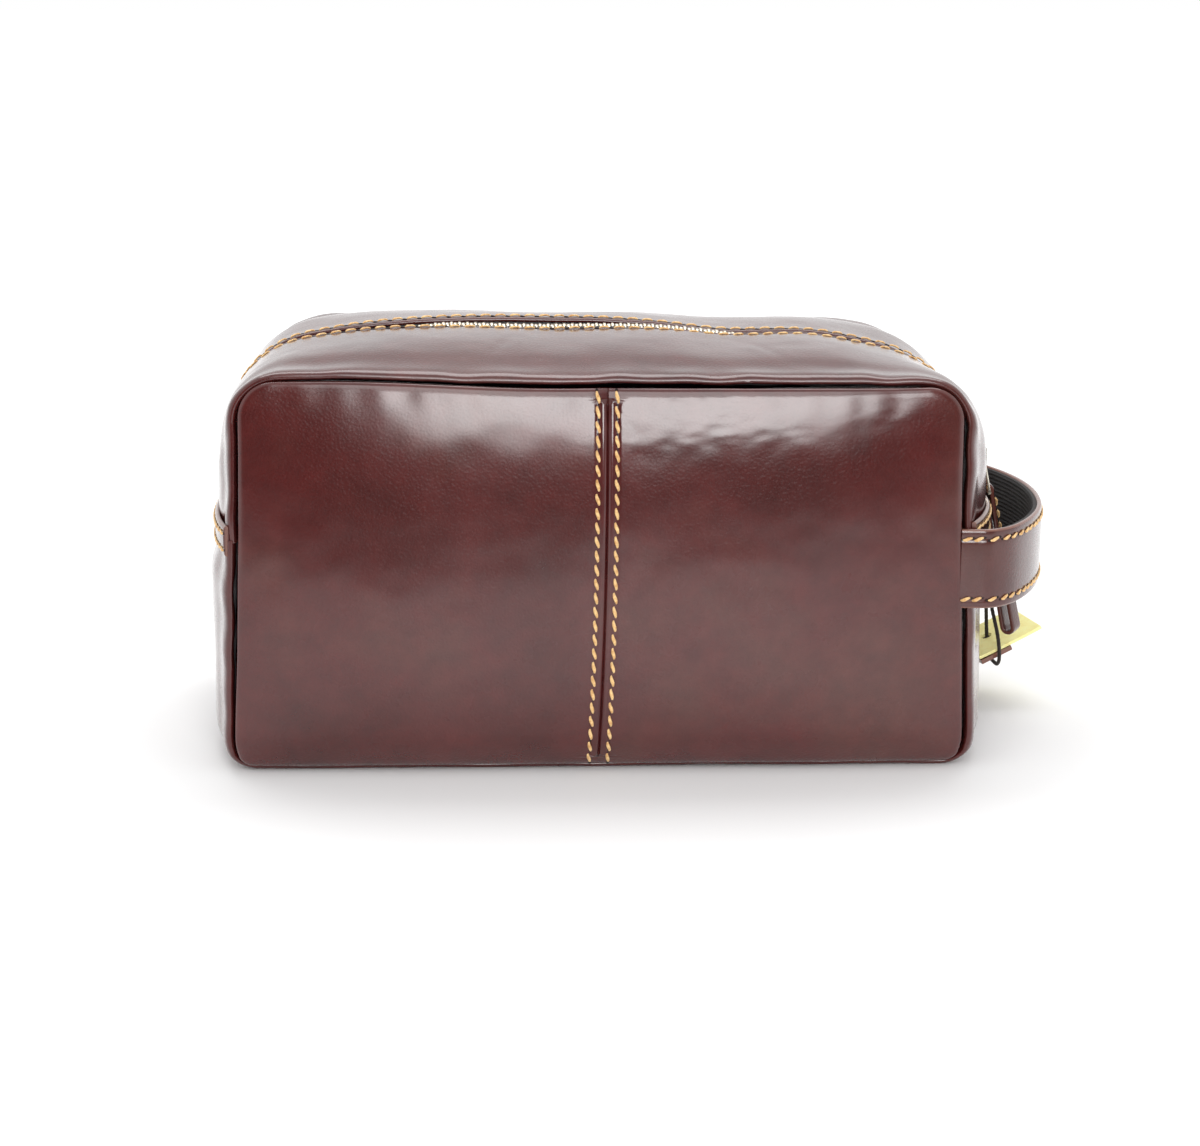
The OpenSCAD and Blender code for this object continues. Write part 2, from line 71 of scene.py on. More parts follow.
JOINTS = {j["name"]: j for j in frame["joints"]}
HALF_DEPTH = -JOINTS["front_flap_open"]["pos_m"][1]
CORNER_X, _, CORNER_Z = JOINTS["slider_travel"]["pos_m"]
PANEL_LOW, PANEL_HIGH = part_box("front_panel_right")
BOTTOM_HALF = PANEL_HIGH.x
SEAM_H = PANEL_HIGH.z - 0.5 * MM
TOP_HALF = 0.111
TOP_R, BOTTOM_R = 0.013, 0.005
SWELL = -PANEL_LOW.y - HALF_DEPTH
CREST_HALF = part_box("base_gusset")[1].x
JOIN_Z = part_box("base_gusset")[1].z
CREST_R = CREST_HALF - CORNER_X
CREST_A = math.radians(80)
CREST_BOTTOM_R = 0.014
ARCH_R = CREST_R + CORNER_X / math.cos(CREST_A)
ARCH_Z = CORNER_Z - (ARCH_R - CREST_R) * math.sin(CREST_A)
ARCH_RUN = ARCH_R * (math.pi / 2 - CREST_A)
CORNER_RUN = CREST_R * CREST_A
BAND_LOW, BAND_HIGH = (c.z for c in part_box("end_band_right"))
STRAP_LOW, STRAP_HIGH = (c.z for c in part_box("handle_strap"))
LEATHER_T = 1.4 * MM
ZIP_EDGE = 3.2 * MM
ZIP_STITCH_Y = ZIP_EDGE + 2.4 * MM
JOIN, TOP = 10, 29  # outline indices: where the gussets join, and the middle of the top
PANEL_PITCH, ZIP_PITCH, BAND_PITCH, HANDLE_PITCH = 4.4 * MM, 4.7 * MM, 4.2 * MM, 4.0 * MM  # of the stitches
LINING_T, LINING_DEPTH = 0.45 * MM, 3.6  # the depth, in mm, is below the leather's face
ZIP_GAPE_AT = 3 * MM  # how far back the zip's own pieces start to gape
SIDES = ((1, "right"), (-1, "left"))
FACES = ((False, "front"), (True, "back"))
Y_AXIS, Z_AXIS = np.array([0, 1.0, 0]), np.array([0, 0, 1.0])


# ---- shape of the shell

def mix(a, b, t):
    return a + (b - a) * t


def unit(v):
    return v / np.maximum(np.linalg.norm(v, axis=-1, keepdims=True), 1e-12)


def smooth(t):
    t = np.clip(t, 0, 1)
    return t * t * (3 - 2 * t)


def bump(x, centre, width):
    return np.exp(-(((x - centre) / width) ** 2))


def stack(*rows):
    """Arrays side by side along a new last axis."""
    return np.stack(rows, -1)


def steps(*stretches):
    """Even steps along (from, to, count) stretches, each of which starts where the last one ends."""
    rows = [np.linspace(*stretch) for stretch in stretches]
    return np.concatenate(rows[:1] + [row[1:] for row in rows[1:]])


def circle(count):
    """Angles of evenly spaced points round a circle."""
    return np.arange(count) / count * 2 * math.pi


def squarish(wave, power):
    """A sine or cosine flattened towards a square wave."""
    return np.sign(wave) * np.abs(wave) ** power


def run_along(line):
    """Distance of each point of a line from its start."""
    return np.concatenate([[0], np.cumsum(np.linalg.norm(np.diff(line, axis=0), axis=-1))])


def seam_side(z):
    """Half width of the panels at a height, between their rounded corners."""
    return mix(BOTTOM_HALF, TOP_HALF, (z - BOTTOM_R) / (SEAM_H - TOP_R - BOTTOM_R))


def pieces_of(u, *stretches):
    """Joins stretches (from, to, function of 0 to 1) of an outline into one (x, z) for each index u."""
    out = np.zeros(u.shape + (2,))
    for low, high, shape in stretches:
        here = (u >= low) & (u <= high)
        out[here] = np.stack(shape((u[here] - low) / (high - low)), -1)
    return out


def arc(cx, cz, r, a0, a1):
    return lambda t: (cx + r * np.cos(mix(a0, a1, t)), cz + r * np.sin(mix(a0, a1, t)))


def upright(x, z0, z1):
    return lambda t: (x(mix(z0, z1, t)), mix(z0, z1, t))


def seam_outline(u):
    """Right half of the front seam, from the base's middle at 0 to the top's middle at TOP."""
    side_top = SEAM_H - TOP_R
    base_end = BOTTOM_HALF - BOTTOM_R
    top_end = TOP_HALF - TOP_R
    return pieces_of(
        u,
        (0, 3, lambda t: (base_end * t, 0 * t)),
        (3, 6, arc(base_end, BOTTOM_R, BOTTOM_R, -math.pi / 2, 0)),
        (6, 10, upright(seam_side, BOTTOM_R, JOIN_Z)),
        (10, 13, upright(seam_side, JOIN_Z, side_top)),
        (13, 19, arc(top_end, side_top, TOP_R, 0, math.pi / 2)),
        (19, TOP, lambda t: (top_end * (1 - t), SEAM_H + 0.5 * MM * t)),
    )


def crest_outline(u):
    """The same round the middle of the gusset, where the zip runs."""
    side = lambda z: CREST_HALF + 0 * z
    base_end = CREST_HALF - CREST_BOTTOM_R
    return pieces_of(
        u,
        (0, 3, lambda t: (base_end * t, 0 * t)),
        (3, 6, arc(base_end, CREST_BOTTOM_R, CREST_BOTTOM_R, -math.pi / 2, 0)),
        (6, 10, upright(side, CREST_BOTTOM_R, JOIN_Z)),
        (10, 13, upright(side, JOIN_Z, CORNER_Z)),
        (13, 19, arc(CORNER_X, CORNER_Z, CREST_R, 0, CREST_A)),
        (19, TOP, arc(0, ARCH_Z, ARCH_R, CREST_A, math.pi / 2)),
    )


def both_halves(outline, u):
    """Outline at any index: below 0 it is on the left half."""
    p = outline(np.abs(u))
    p[..., 0] *= np.where(u < 0, -1, 1)
    return p


def skin(u, y):
    v = np.clip(np.abs(y) / HALF_DEPTH, 0, 1)[..., None]
    p = mix(both_halves(crest_outline, u), both_halves(seam_outline, u), v**3)
    return np.stack([p[..., 0], y, p[..., 1]], -1)


def skin_normal(u, y):
    du, dy = 0.02, 0.2 * MM
    lo, hi = np.maximum(u - du, -JOIN), np.minimum(u + du, TOP)
    along = skin(hi, y) - skin(lo, y)
    across = skin(u, y + dy) - skin(u, y - dy)
    return unit(np.cross(across, along))


def swell(x, z):
    """How far in front of the middle plane the front panel stands."""
    half = SEAM_H / 2
    side = 1 - np.clip(x / seam_side(z), -1, 1) ** 4
    return HALF_DEPTH + SWELL * side * (1 - np.clip((z - half) / (half + 0.6 * MM), -1, 1) ** 4)


def field(points, scale, seed, detail=1):
    """Smooth noise from -1 to 1 at each point; scale is its grain in metres."""
    flat = points.reshape(-1, 3) / scale + seed * 7.31
    total = np.zeros(len(flat))
    for octave in range(detail):
        f = 2.0**octave
        total += np.array([noise.noise(Vector(p * f)) for p in flat]) / f
    return total.reshape(points.shape[:-1])


def settle(p, gape_at=1.8 * MM):
    """How the soft shell sags, rises and bulges away from its even shape; p is an array of points."""
    x, y, z = p[..., 0], p[..., 1], p[..., 2]
    v = np.clip(np.abs(y) / HALF_DEPTH, 0, 1)
    crest = 1 - v**3
    high = smooth((z - 0.085) / 0.03)
    left = smooth((-x - 0.045) / 0.05)
    right = smooth((x - 0.045) / 0.05)
    clear = 1 - smooth((0.010 - np.abs(y)) / 0.006) * smooth((x - 0.085) / 0.02)
    out = p.copy()
    # The top stands flatter and higher on the left, and a little higher right of the middle
    rise = smooth((-x - 0.010) / 0.075) * (1 - 0.6 * smooth((-x - 0.102) / 0.03))
    out[..., 2] += high * rise * mix(2.6, 4.8, crest) * MM
    out[..., 2] -= high * crest * bump(x, -0.005, 0.05) * 0.6 * MM
    out[..., 2] += high * smooth((y - 0.008) / 0.03) * 1.2 * MM
    out[..., 2] -= high * smooth((-x - 0.085) / 0.03) * smooth((y - 0.030) / 0.02) * 3.5 * MM
    out[..., 2] += high * (bump(x, 0.074, 0.020) * 1.6 - bump(x, 0.040, 0.016) * 1.2) * crest * MM
    # Rounder back corner, fuller front corner on the right
    out[..., 2] -= high * smooth((x - 0.085) / 0.03) * smooth((y - 0.030) / 0.02) * 5.0 * MM
    fuller = high * smooth((x - 0.088) / 0.02) * bump(y, -0.040, 0.018) * clear
    out[..., 0] += fuller * 1.8 * MM
    out[..., 2] += fuller * 1.4 * MM
    # The left side is drawn in above the band and full below it; the right side swells round the slider
    side_high = smooth((z - 0.060) / 0.012) * (1 - smooth((z - 0.098) / 0.018))
    side_low = 1 - smooth((z - 0.050) / 0.014)
    out[..., 0] += left * crest * (3.4 * side_high - 0.2 * side_low) * MM
    out[..., 0] += right * bump(z, 0.084, 0.016) * bump(np.abs(y), 0.027, 0.013) * 0.6 * MM
    # The bottom corners splay, and the front and back curl under at the base
    out[..., 0] -= left * bump(z, 0.012, 0.020) * 0.7 * MM
    out[..., 0] += (left - right) * np.clip(1 - z / 0.012, 0, 1) ** 2 * 3.0 * MM
    curl = np.clip(1 - z / 0.014, 0, 1) ** 2 * 4.6 * MM
    out[..., 1] -= np.sign(y) * curl * smooth((v - 0.55) / 0.4)
    # The zip gapes on its back edge, left of the middle
    gape = bump(x, -0.022, 0.042) * high * smooth((y - gape_at) / (1.2 * MM))
    gape = gape * (1 - smooth((y - 0.008) / 0.03))
    out[..., 2] += gape * 2.0 * MM
    out[..., 1] += gape * 2.2 * MM
    return out


def zip_angle(s):
    s = np.abs(s)
    round_corner = np.maximum(0, CREST_A - (s - ARCH_RUN) / CREST_R)
    return np.where(s <= ARCH_RUN, math.pi / 2 - s / ARCH_R, round_corner)


def zip_frame(s, y, lift):
    """Origin, along, across and outward vectors on the zip line at run s from the top's middle."""
    a = float(zip_angle(s))
    side = -1 if s < 0 else 1
    if abs(s) <= ARCH_RUN:
        p = (ARCH_R * math.cos(a), ARCH_Z + ARCH_R * math.sin(a))
    else:
        drop = max(0, abs(s) - ARCH_RUN - CORNER_RUN)
        p = (CORNER_X + CREST_R * math.cos(a), CORNER_Z + CREST_R * math.sin(a) - drop)
    out = np.array([side * math.cos(a), 0, math.sin(a)])
    along = np.array([side * math.sin(a), 0, -math.cos(a)])
    across = np.array([0, 1.0, 0])
    return np.array([side * p[0], y, p[1]]) + out * lift, along, across, out


# ---- mesh building

def mesh_object(name, vertices, faces, uvs=None, wear=None):
    mesh = bpy.data.meshes.new(name)
    mesh.from_pydata(np.asarray(vertices).tolist(), [], faces if isinstance(faces, list) else faces.tolist())
    mesh.polygons.foreach_set("use_smooth", [True] * len(mesh.polygons))
    if uvs is not None:
        layer = mesh.uv_layers.new(name="cloth")
        index = np.zeros(len(mesh.loops), np.int32)
        mesh.loops.foreach_get("vertex_index", index)
        layer.data.foreach_set("uv", np.asarray(uvs, np.float32)[index].ravel())
    edge = mesh.attributes.new("wear", "FLOAT", "POINT")
    if wear is not None:
        edge.data.foreach_set("value", np.asarray(wear, np.float32).ravel())
    mesh.update()
    mesh.set_sharp_from_angle(angle=math.radians(55))
    obj = bpy.data.objects.new(name, mesh)
    bpy.context.scene.collection.objects.link(obj)
    return obj


def grid_faces(rows, cols, offset=0, flip=False, wrap_rows=False, wrap_cols=False):
    i = np.arange(rows if wrap_rows else rows - 1)
    j = np.arange(cols if wrap_cols else cols - 1)
    i, j = (a.ravel() for a in np.meshgrid(i, j, indexing="ij"))
    i2, j2 = (i + 1) % rows, (j + 1) % cols
    quad = stack(i * cols + j, i * cols + j2, i2 * cols + j2, i2 * cols + j) + offset
    return quad[:, ::-1] if flip else quad


def grid_runs(grid):
    """Distances along the rows and the columns of a grid, as texture coordinates in metres."""
    du = np.linalg.norm(np.diff(grid, axis=0), axis=-1)
    dv = np.linalg.norm(np.diff(grid, axis=1), axis=-1)
    u = np.concatenate([np.zeros((1, grid.shape[1])), np.cumsum(du, 0)], 0)
    v = np.concatenate([np.zeros((grid.shape[0], 1)), np.cumsum(dv, 1)], 1)
    return np.stack(np.broadcast_arrays(v.mean(0)[None, :], u.mean(1)[:, None]), -1)


def grid_normals(grid):
    return unit(np.cross(np.gradient(grid, axis=1), np.gradient(grid, axis=0)))


def sheet(name, grid, thickness, wear=None):
    """Closed skin of a given thickness under a grid of points whose outside is across x along."""
    rows, cols = grid.shape[:2]
    inner = grid - grid_normals(grid) * np.broadcast_to(thickness, grid.shape[:2])[..., None]
    n = rows * cols
    front = grid_faces(rows, cols)
    back = grid_faces(rows, cols, n, flip=True)
    rim = np.concatenate([
        np.arange(cols),
        np.arange(1, rows) * cols + cols - 1,
        (rows - 1) * cols + np.arange(cols - 2, -1, -1),
        np.arange(rows - 2, 0, -1) * cols,
    ])
    after = np.roll(rim, -1)
    side = stack(after, rim, rim + n, after + n)
    uv = grid_runs(grid).reshape(-1, 2)
    worn = np.zeros(n) if wear is None else np.broadcast_to(wear, grid.shape[:2]).ravel()
    return mesh_object(
        name,
        np.concatenate([grid.reshape(-1, 3), inner.reshape(-1, 3)]),
        np.concatenate([front, back, side]),
        np.concatenate([uv, uv]),
        np.concatenate([worn, worn]),
    )


def mirrored(grid, x=False, y=False):
    """A grid mirrored in X and Y, with its columns turned where that keeps the outside outside."""
    grid = grid * np.array([-1 if x else 1, -1 if y else 1, 1])
    return grid[:, ::-1] if x != y else grid


def joined(name, shapes, uv_scale=1.0):
    """One mesh of many small shapes, each (vertices, quads, texture coordinates)."""
    points, faces, uvs, start = [], [], [], 0
    for vertices, quads, uv in shapes:
        points.append(vertices)
        faces += [[i + start for i in q] for q in quads]
        uvs.append(uv)
        start += len(vertices)
    return mesh_object(name, np.concatenate(points), faces, np.concatenate(uvs) * uv_scale)


def swept(name, line, side, up, profile, wear=None, closed=False):
    """Profile of (side, up) offsets swept along a line of points, as a closed tube."""
    n, m = len(line), len(profile)
    profile = np.asarray(profile)
    rings = line[:, None] + side[:, None] * profile[None, :, :1] + up[:, None] * profile[None, :, 1:]
    faces = grid_faces(n, m, wrap_rows=closed, wrap_cols=True).tolist()
    if not closed:
        faces += [list(range(m - 1, -1, -1)), [(n - 1) * m + j for j in range(m)]]
    uv = np.stack(np.meshgrid(run_along(profile), run_along(line)), -1).reshape(-1, 2)
    worn = None if wear is None else np.tile(wear, n)
    return mesh_object(name, rings.reshape(-1, 3), faces, uv, worn)


def spline(points, steps):
    """Smooth curve through given points."""
    p = np.asarray(points, float)
    p = np.concatenate([p[:1], p, p[-1:]])
    t = (np.arange(steps) / steps)[:, None]
    out = []
    for a, b, c, d in zip(p, p[1:], p[2:], p[3:]):
        square, cube = (2 * a - 5 * b + 4 * c - d) * t**2, (3 * b - a - 3 * c + d) * t**3
        out.append(0.5 * (2 * b + (c - a) * t + square + cube))
    return np.concatenate(out + [p[-1:]])


def even(line, count):
    """The same line with points at equal distances."""
    run = run_along(line)
    s = np.linspace(0, run[-1], count)
    return np.stack([np.interp(s, run, line[:, k]) for k in range(3)], -1), run[-1]


# ---- materials

class Material:
    """A node material: add() makes a node, and link() joins sockets."""

    def __init__(self, name, color, roughness, metallic=0.0):
        self.data = bpy.data.materials.new(name)
        self.data.use_nodes = True
        self.tree = self.data.node_tree
        self.shader = self.tree.nodes["Principled BSDF"]
        self.set(**{"Base Color": (*color, 1), "Roughness": roughness, "Metallic": metallic})
        self.coords = self.add("ShaderNodeTexCoord")

    def set(self, **values):
        for key, value in values.items():
            self.shader.inputs[key].default_value = value

    def add(self, kind, **values):
        node = self.tree.nodes.new(kind)
        for key, value in values.items():
            if key in node.inputs:
                node.inputs[key].default_value = value
            else:
                setattr(node, key, value)
        return node

    def link(self, source, target):
        self.tree.links.new(source, target)

    def noise(self, scale, detail=2.0, rough=0.5, distortion=0.0):
        values = {"Scale": scale, "Detail": detail, "Roughness": rough, "Distortion": distortion}
        node = self.add("ShaderNodeTexNoise", **values)
        self.link(self.coords.outputs["Object"], node.inputs["Vector"])
        return node.outputs["Fac"]

    def cells(self, scale, feature="F1"):
        node = self.add("ShaderNodeTexVoronoi", Scale=scale, feature=feature)
        self.link(self.coords.outputs["Object"], node.inputs["Vector"])
        return node.outputs["Distance"]

    def wave(self, scale, direction="X", distortion=0.0, turn=0.0):
        place = self.add("ShaderNodeMapping")
        place.inputs["Rotation"].default_value = (0, 0, turn)
        self.link(self.coords.outputs["UV"], place.inputs["Vector"])
        node = self.add("ShaderNodeTexWave", Scale=scale, Distortion=distortion, bands_direction=direction)
        self.link(place.outputs["Vector"], node.inputs["Vector"])
        return node.outputs["Fac"]

    def ramp(self, source, *stops):
        node = self.add("ShaderNodeValToRGB")
        while len(node.color_ramp.elements) < len(stops):
            node.color_ramp.elements.new(0.5)
        for element, (place, color) in zip(node.color_ramp.elements, stops):
            element.position = place
            element.color = (*color, 1) if hasattr(color, "__len__") else (color, color, color, 1)
        self.link(source, node.inputs["Fac"])
        return node.outputs["Color"]

    def math(self, operation, a, b):
        node = self.add("ShaderNodeMath", operation=operation)
        for i, value in enumerate((a, b)):
            if isinstance(value, (int, float)):
                node.inputs[i].default_value = value
            else:
                self.link(value, node.inputs[i])
        return node.outputs[0]

    def blend(self, factor, a, b, how="MIX"):
        node = self.add("ShaderNodeMix", data_type="RGBA", blend_type=how)
        for i, value in ((0, factor), (6, a), (7, b)):
            if isinstance(value, (int, float)):
                node.inputs[i].default_value = value
            elif isinstance(value, tuple):
                node.inputs[i].default_value = (*value, 1)
            else:
                self.link(value, node.inputs[i])
        return node.outputs[2]

    def wear(self):
        return self.add("ShaderNodeAttribute", attribute_name="wear").outputs["Fac"]

    def relief(self, *layers):
        """Bump layers of (height, strength, distance)."""
        last = None
        for height, strength, distance in layers:
            node = self.add("ShaderNodeBump", Strength=strength, Distance=distance)
            self.link(height, node.inputs["Height"])
            if last:
                self.link(last, node.inputs["Normal"])
            last = node.outputs["Normal"]
        self.link(last, self.shader.inputs["Normal"])

    def color(self, socket):
        self.link(socket, self.shader.inputs["Base Color"])

    def roughness(self, socket):
        self.link(socket, self.shader.inputs["Roughness"])


def leather_material(name, deep, warm, brown):
    m = Material(name, warm, 0.4)
    patches = m.ramp(m.noise(16, 3, 0.55), (0.34, deep), (0.52, warm), (0.68, brown))
    mottle = m.ramp(m.noise(140, 5, 0.6), (0.3, (0.82, 0.8, 0.8)), (0.7, (1.12, 1.1, 1.08)))
    tinted = m.blend(1.0, patches, mottle, "MULTIPLY")
    pores = m.ramp(m.cells(1250), (0.0, (0.72, 0.68, 0.68)), (0.35, (1, 1, 1)))
    grained = m.blend(0.55, tinted, pores, "MULTIPLY")
    edge = m.blend(m.wear(), grained, (0.20, 0.085, 0.06))
    m.color(edge)
    m.roughness(m.ramp(m.noise(60, 4, 0.6), (0.3, 0.24), (0.7, 0.34)))
    pebble = m.cells(1250, "SMOOTH_F1")
    fine = m.noise(1500, 3, 0.6)
    lines = m.ramp(m.cells(520, "DISTANCE_TO_EDGE"), (0.0, 0.0), (0.06, 1.0))
    where = m.ramp(m.noise(26, 2), (0.56, 1.0), (0.74, 0.0))
    faint = m.math("MAXIMUM", lines, where)
    m.relief((pebble, 0.50, 0.25 * MM), (fine, 0.30, 0.12 * MM), (faint, 0.10, 0.10 * MM))
    m.set(**{"Coat Weight": 1.0, "Coat IOR": 1.56, "Coat Roughness": 0.17, "Specular IOR Level": 0.10})
    return m.data


def thread_material():
    m = Material("thread", (0.75, 0.46, 0.17), 0.5)
    m.color(m.ramp(m.noise(900, 3), (0.3, (0.58, 0.29, 0.09)), (0.65, (0.88, 0.60, 0.27))))
    m.relief((m.wave(900, "Y", 0.4, 0.6), 0.5, 0.12 * MM))
    m.set(**{"Sheen Weight": 0.25, "Sheen Roughness": 0.4})
    return m.data


def metal_material(name, color, rough):
    m = Material(name, color, rough, 1.0)
    m.color(m.ramp(m.noise(400, 3), (0.35, tuple(c * 0.86 for c in color)), (0.65, color)))
    m.roughness(m.ramp(m.noise(1500, 4), (0.3, rough * 0.8), (0.7, rough * 1.35)))
    m.relief((m.noise(2200, 3), 0.06, 0.05 * MM))
    return m.data


def cloth_material(name, dark, light, pitch, rib=False, sheen=0.3):
    m = Material(name, light, 0.8)
    across = m.wave(math.pi / pitch / 10, "X", 0.3)
    along = m.wave(math.pi / pitch / 10, "Y", 0.3)
    weave = along if rib else m.math("MAXIMUM", across, along)
    fuzz = m.noise(1800, 3)
    m.color(m.blend(m.math("MULTIPLY", weave, fuzz), dark, light))
    m.relief((weave, 0.6, pitch * 0.35), (fuzz, 0.3, 0.08 * MM))
    m.set(**{"Sheen Weight": sheen, "Sheen Roughness": 0.5})
    return m.data


def card_material():
    m = Material("tag_card", (0.86, 0.78, 0.42), 0.75)
    fibres = m.noise(420, 6, 0.65, 0.6)
    shades = (0.32, (0.96, 0.86, 0.34)), (0.55, (1.0, 0.95, 0.42)), (0.75, (1.0, 0.97, 0.50))
    m.color(m.ramp(fibres, *shades))
    m.relief((fibres, 0.25, 0.1 * MM))
    return m.data


def board_material():
    m = Material("board", (0.30, 0.25, 0.18), 0.85)
    m.color(m.ramp(m.noise(500, 5), (0.3, (0.22, 0.18, 0.12)), (0.7, (0.38, 0.32, 0.24))))
    m.relief((m.noise(900, 4), 0.3, 0.1 * MM))
    return m.data


def floor_material():
    m = Material("floor", (0.93, 0.93, 0.93), 0.6)
    m.color(m.ramp(m.noise(3, 2), (0.3, (0.86, 0.86, 0.86)), (0.7, (0.87, 0.87, 0.87))))
    m.set(**{"Specular IOR Level": 0.1})
    return m.data


LEATHER = leather_material("leather", (0.056, 0.008, 0.007), (0.076, 0.012, 0.011), (0.082, 0.022, 0.018))
STRAP = leather_material("strap_leather", (0.057, 0.011, 0.010), (0.074, 0.017, 0.015), (0.080, 0.026, 0.021))
THREAD = thread_material()
# Needle holes are near black: painted shade that stands in for the shadow inside each hole
HOLE_SHADE = Material("needle_hole_shade", (0.012, 0.006, 0.005), 0.9)
HOLE_SHADE.color(HOLE_SHADE.ramp(HOLE_SHADE.noise(2000), (0.3, (0.010, 0.004, 0.004)), (0.7, (0.020, 0.009, 0.008))))
HOLE_SHADE = HOLE_SHADE.data
NICKEL = metal_material("nickel", (0.86, 0.79, 0.66), 0.22)
TAPE = cloth_material("zip_tape", (0.010, 0.006, 0.006), (0.045, 0.026, 0.024), 0.45 * MM)
WEBBING = cloth_material("webbing", (0.006, 0.005, 0.005), (0.022, 0.017, 0.018), 0.5 * MM, True, sheen=0.1)
LINING = cloth_material("lining", (0.012, 0.010, 0.011), (0.050, 0.044, 0.047), 0.5 * MM)
BINDING = cloth_material("binding", (0.010, 0.007, 0.007), (0.040, 0.028, 0.026), 0.6 * MM, rib=True)
CARD = card_material()
CORD = cloth_material("cord", (0.008, 0.005, 0.004), (0.040, 0.026, 0.020), 0.4 * MM, sheen=0.1)
BOARD = board_material()


def settled(obj, gape_at=1.8 * MM):
    """Moves a finished shell piece's points by settle()."""
    points = np.empty(len(obj.data.vertices) * 3, np.float32)
    obj.data.vertices.foreach_get("co", points)
    points = settle(points.reshape(-1, 3).astype(float), gape_at)
    obj.data.vertices.foreach_set("co", points.astype(np.float32).ravel())
    obj.data.update()
    return obj


def finished(obj, material, slot, *nodes):
    obj.data.materials.clear()
    obj.data.materials.append(material)
    if nodes:
        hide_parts(*nodes)
    return obj


# ---- stitches

def stitch_shape(length, width, height, slant, rings=13, sides=10):
    """One thread stitch along local X: its ends dive into the leather, and its two plies twist."""
    t = np.linspace(-1, 1, rings)
    a = circle(sides)
    body = np.sqrt(np.clip(1 - np.abs(t) ** 3.2, 0.02, 1))
    rise = height * (0.6 * (1 - np.abs(t) ** 2.6) - 0.3 * np.abs(t) ** 6)
    ply = 1 + 0.13 * np.cos(2 * a[None, :] - 4.2 * t[:, None])
    bend = math.copysign(0.14 * width, slant) * np.sin(t * 2.6)[:, None]
    y = bend + body[:, None] * width / 2 * np.cos(a)[None, :] * ply
    z = rise[:, None] + body[:, None] * height / 2 * np.sin(a)[None, :] * ply
    x = np.broadcast_to((t * length / 2)[:, None], y.shape)
    girth = a / (2 * math.pi) * math.pi * width
    uv = np.stack(np.meshgrid(girth, (t + 1) * length / 2), -1).reshape(-1, 2)
    faces = grid_faces(rings, sides, flip=True, wrap_cols=True).tolist()
    faces += [list(range(sides)), [(rings - 1) * sides + sides - 1 - j for j in range(sides)]]
    return stack(x, y, z).reshape(-1, 3), faces, uv


def hole_shape(radius, sides=10):
    """A needle hole: a flat lens that sits on the leather under a stitch's end, coloured near black as
    painted shade of the hole's inside.
    """
    a = circle(sides)
    rim = stack(radius * 1.25 * np.cos(a), radius * np.sin(a), 0 * a)
    vertices = np.concatenate([rim, rim * 0.75 + [0, 0, 0.07 * MM], rim - [0, 0, 0.25 * MM]])
    faces = grid_faces(2, sides, wrap_cols=True).tolist()
    faces += [[j, 2 * sides + j, 2 * sides + (j + 1) % sides, (j + 1) % sides] for j in range(sides)]
    faces += [[sides + j for j in range(sides)], [3 * sides - 1 - j for j in range(sides)]]
    return vertices, faces, vertices[:, :2]


def stitch_rows(name, places, length, slant, slot, nodes, width=1.0 * MM, height=0.66 * MM, shell=True):
    """Stitches and their needle holes, dark lenses of painted shade, at places of (origin, along, across,
    outward).
    """
    thread, holes = [], []
    base, quads, uv = stitch_shape(length, width, height, slant)
    dot, dot_quads, dot_uv = hole_shape(0.42 * MM)
    for k, (origin, along, across, out) in enumerate(places):
        wobble = slant + 0.05 * math.sin(2.4 * k)
        ax = along * math.cos(wobble) + across * math.sin(wobble)
        ay = across * math.cos(wobble) - along * math.sin(wobble)
        turn = np.stack([ax, ay, out])
        thread.append((base @ turn + origin, quads, uv))
        for end in (-0.5, 0.5):
            holes.append((dot @ turn + origin + ax * end * (length + 0.35 * MM), dot_quads, dot_uv))
    seam = finished(joined(name, thread), THREAD, "thread", *nodes)
    # the needle holes get the near-black painted shade
    dark = finished(joined(name + "_holes", holes), HOLE_SHADE, slot)
    return [settled(piece) if shell else piece for piece in (seam, dark)]


# ---- front and back panels

def seam_drift(z):
    """The centre seam wanders a little to the left towards the base."""
    return (1.95 - 3.15 * np.clip(1 - z / SEAM_H, 0, 1) ** 2.4) * MM


SEAM_ROW = 2.9 * MM
PANEL_ROLL = [  # (in from the outline, back from the face) round the turned edge
    (4.4, 0.0), (3.4, 0.05), (2.6, 0.2), (2.1, 0.5), (1.85, 0.95), (1.85, 1.5), (2.2, 2.4), (3.2, 2.9)
]


def panel_relief(x, z, seed):
    """Height of the leather over the plain swell: turned centre seam, stitch channels, soft dents."""
    d = x - seam_drift(z)
    points = stack(x, np.full_like(x, seed), z)
    near = np.abs(d)
    height = -0.95 * MM * bump(d, 0, 0.32 * MM)
    height += 0.22 * MM * bump(near, 1.4 * MM, 0.9 * MM)
    height -= 0.32 * MM * bump(near, SEAM_ROW, 0.55 * MM)
    height += 0.60 * MM * field(points, 0.055, 1.3 + seed) * smooth(near / 0.02)
    height += 0.10 * MM * field(points, 0.016, 4.1 + seed, 2)
    crumpled = bump(x, 0.034, 0.026) * bump(z, 0.108, 0.012)
    crumpled += 0.5 * bump(x, 0.090, 0.02) * bump(z, 0.110, 0.010)
    crumpled += 0.6 * bump(x, 0.098, 0.012) * bump(z, 0.018, 0.018)
    height += 0.11 * MM * np.minimum(crumpled, 1) * field(points, 0.0048, 9.4 + seed, 2)
    pull = bump(z, SEAM_H - 4 * MM, 7 * MM)
    height += 0.16 * MM * pull * field(points * np.array([1, 1, 0.3]), 0.008, 2.7 + seed)
    return height


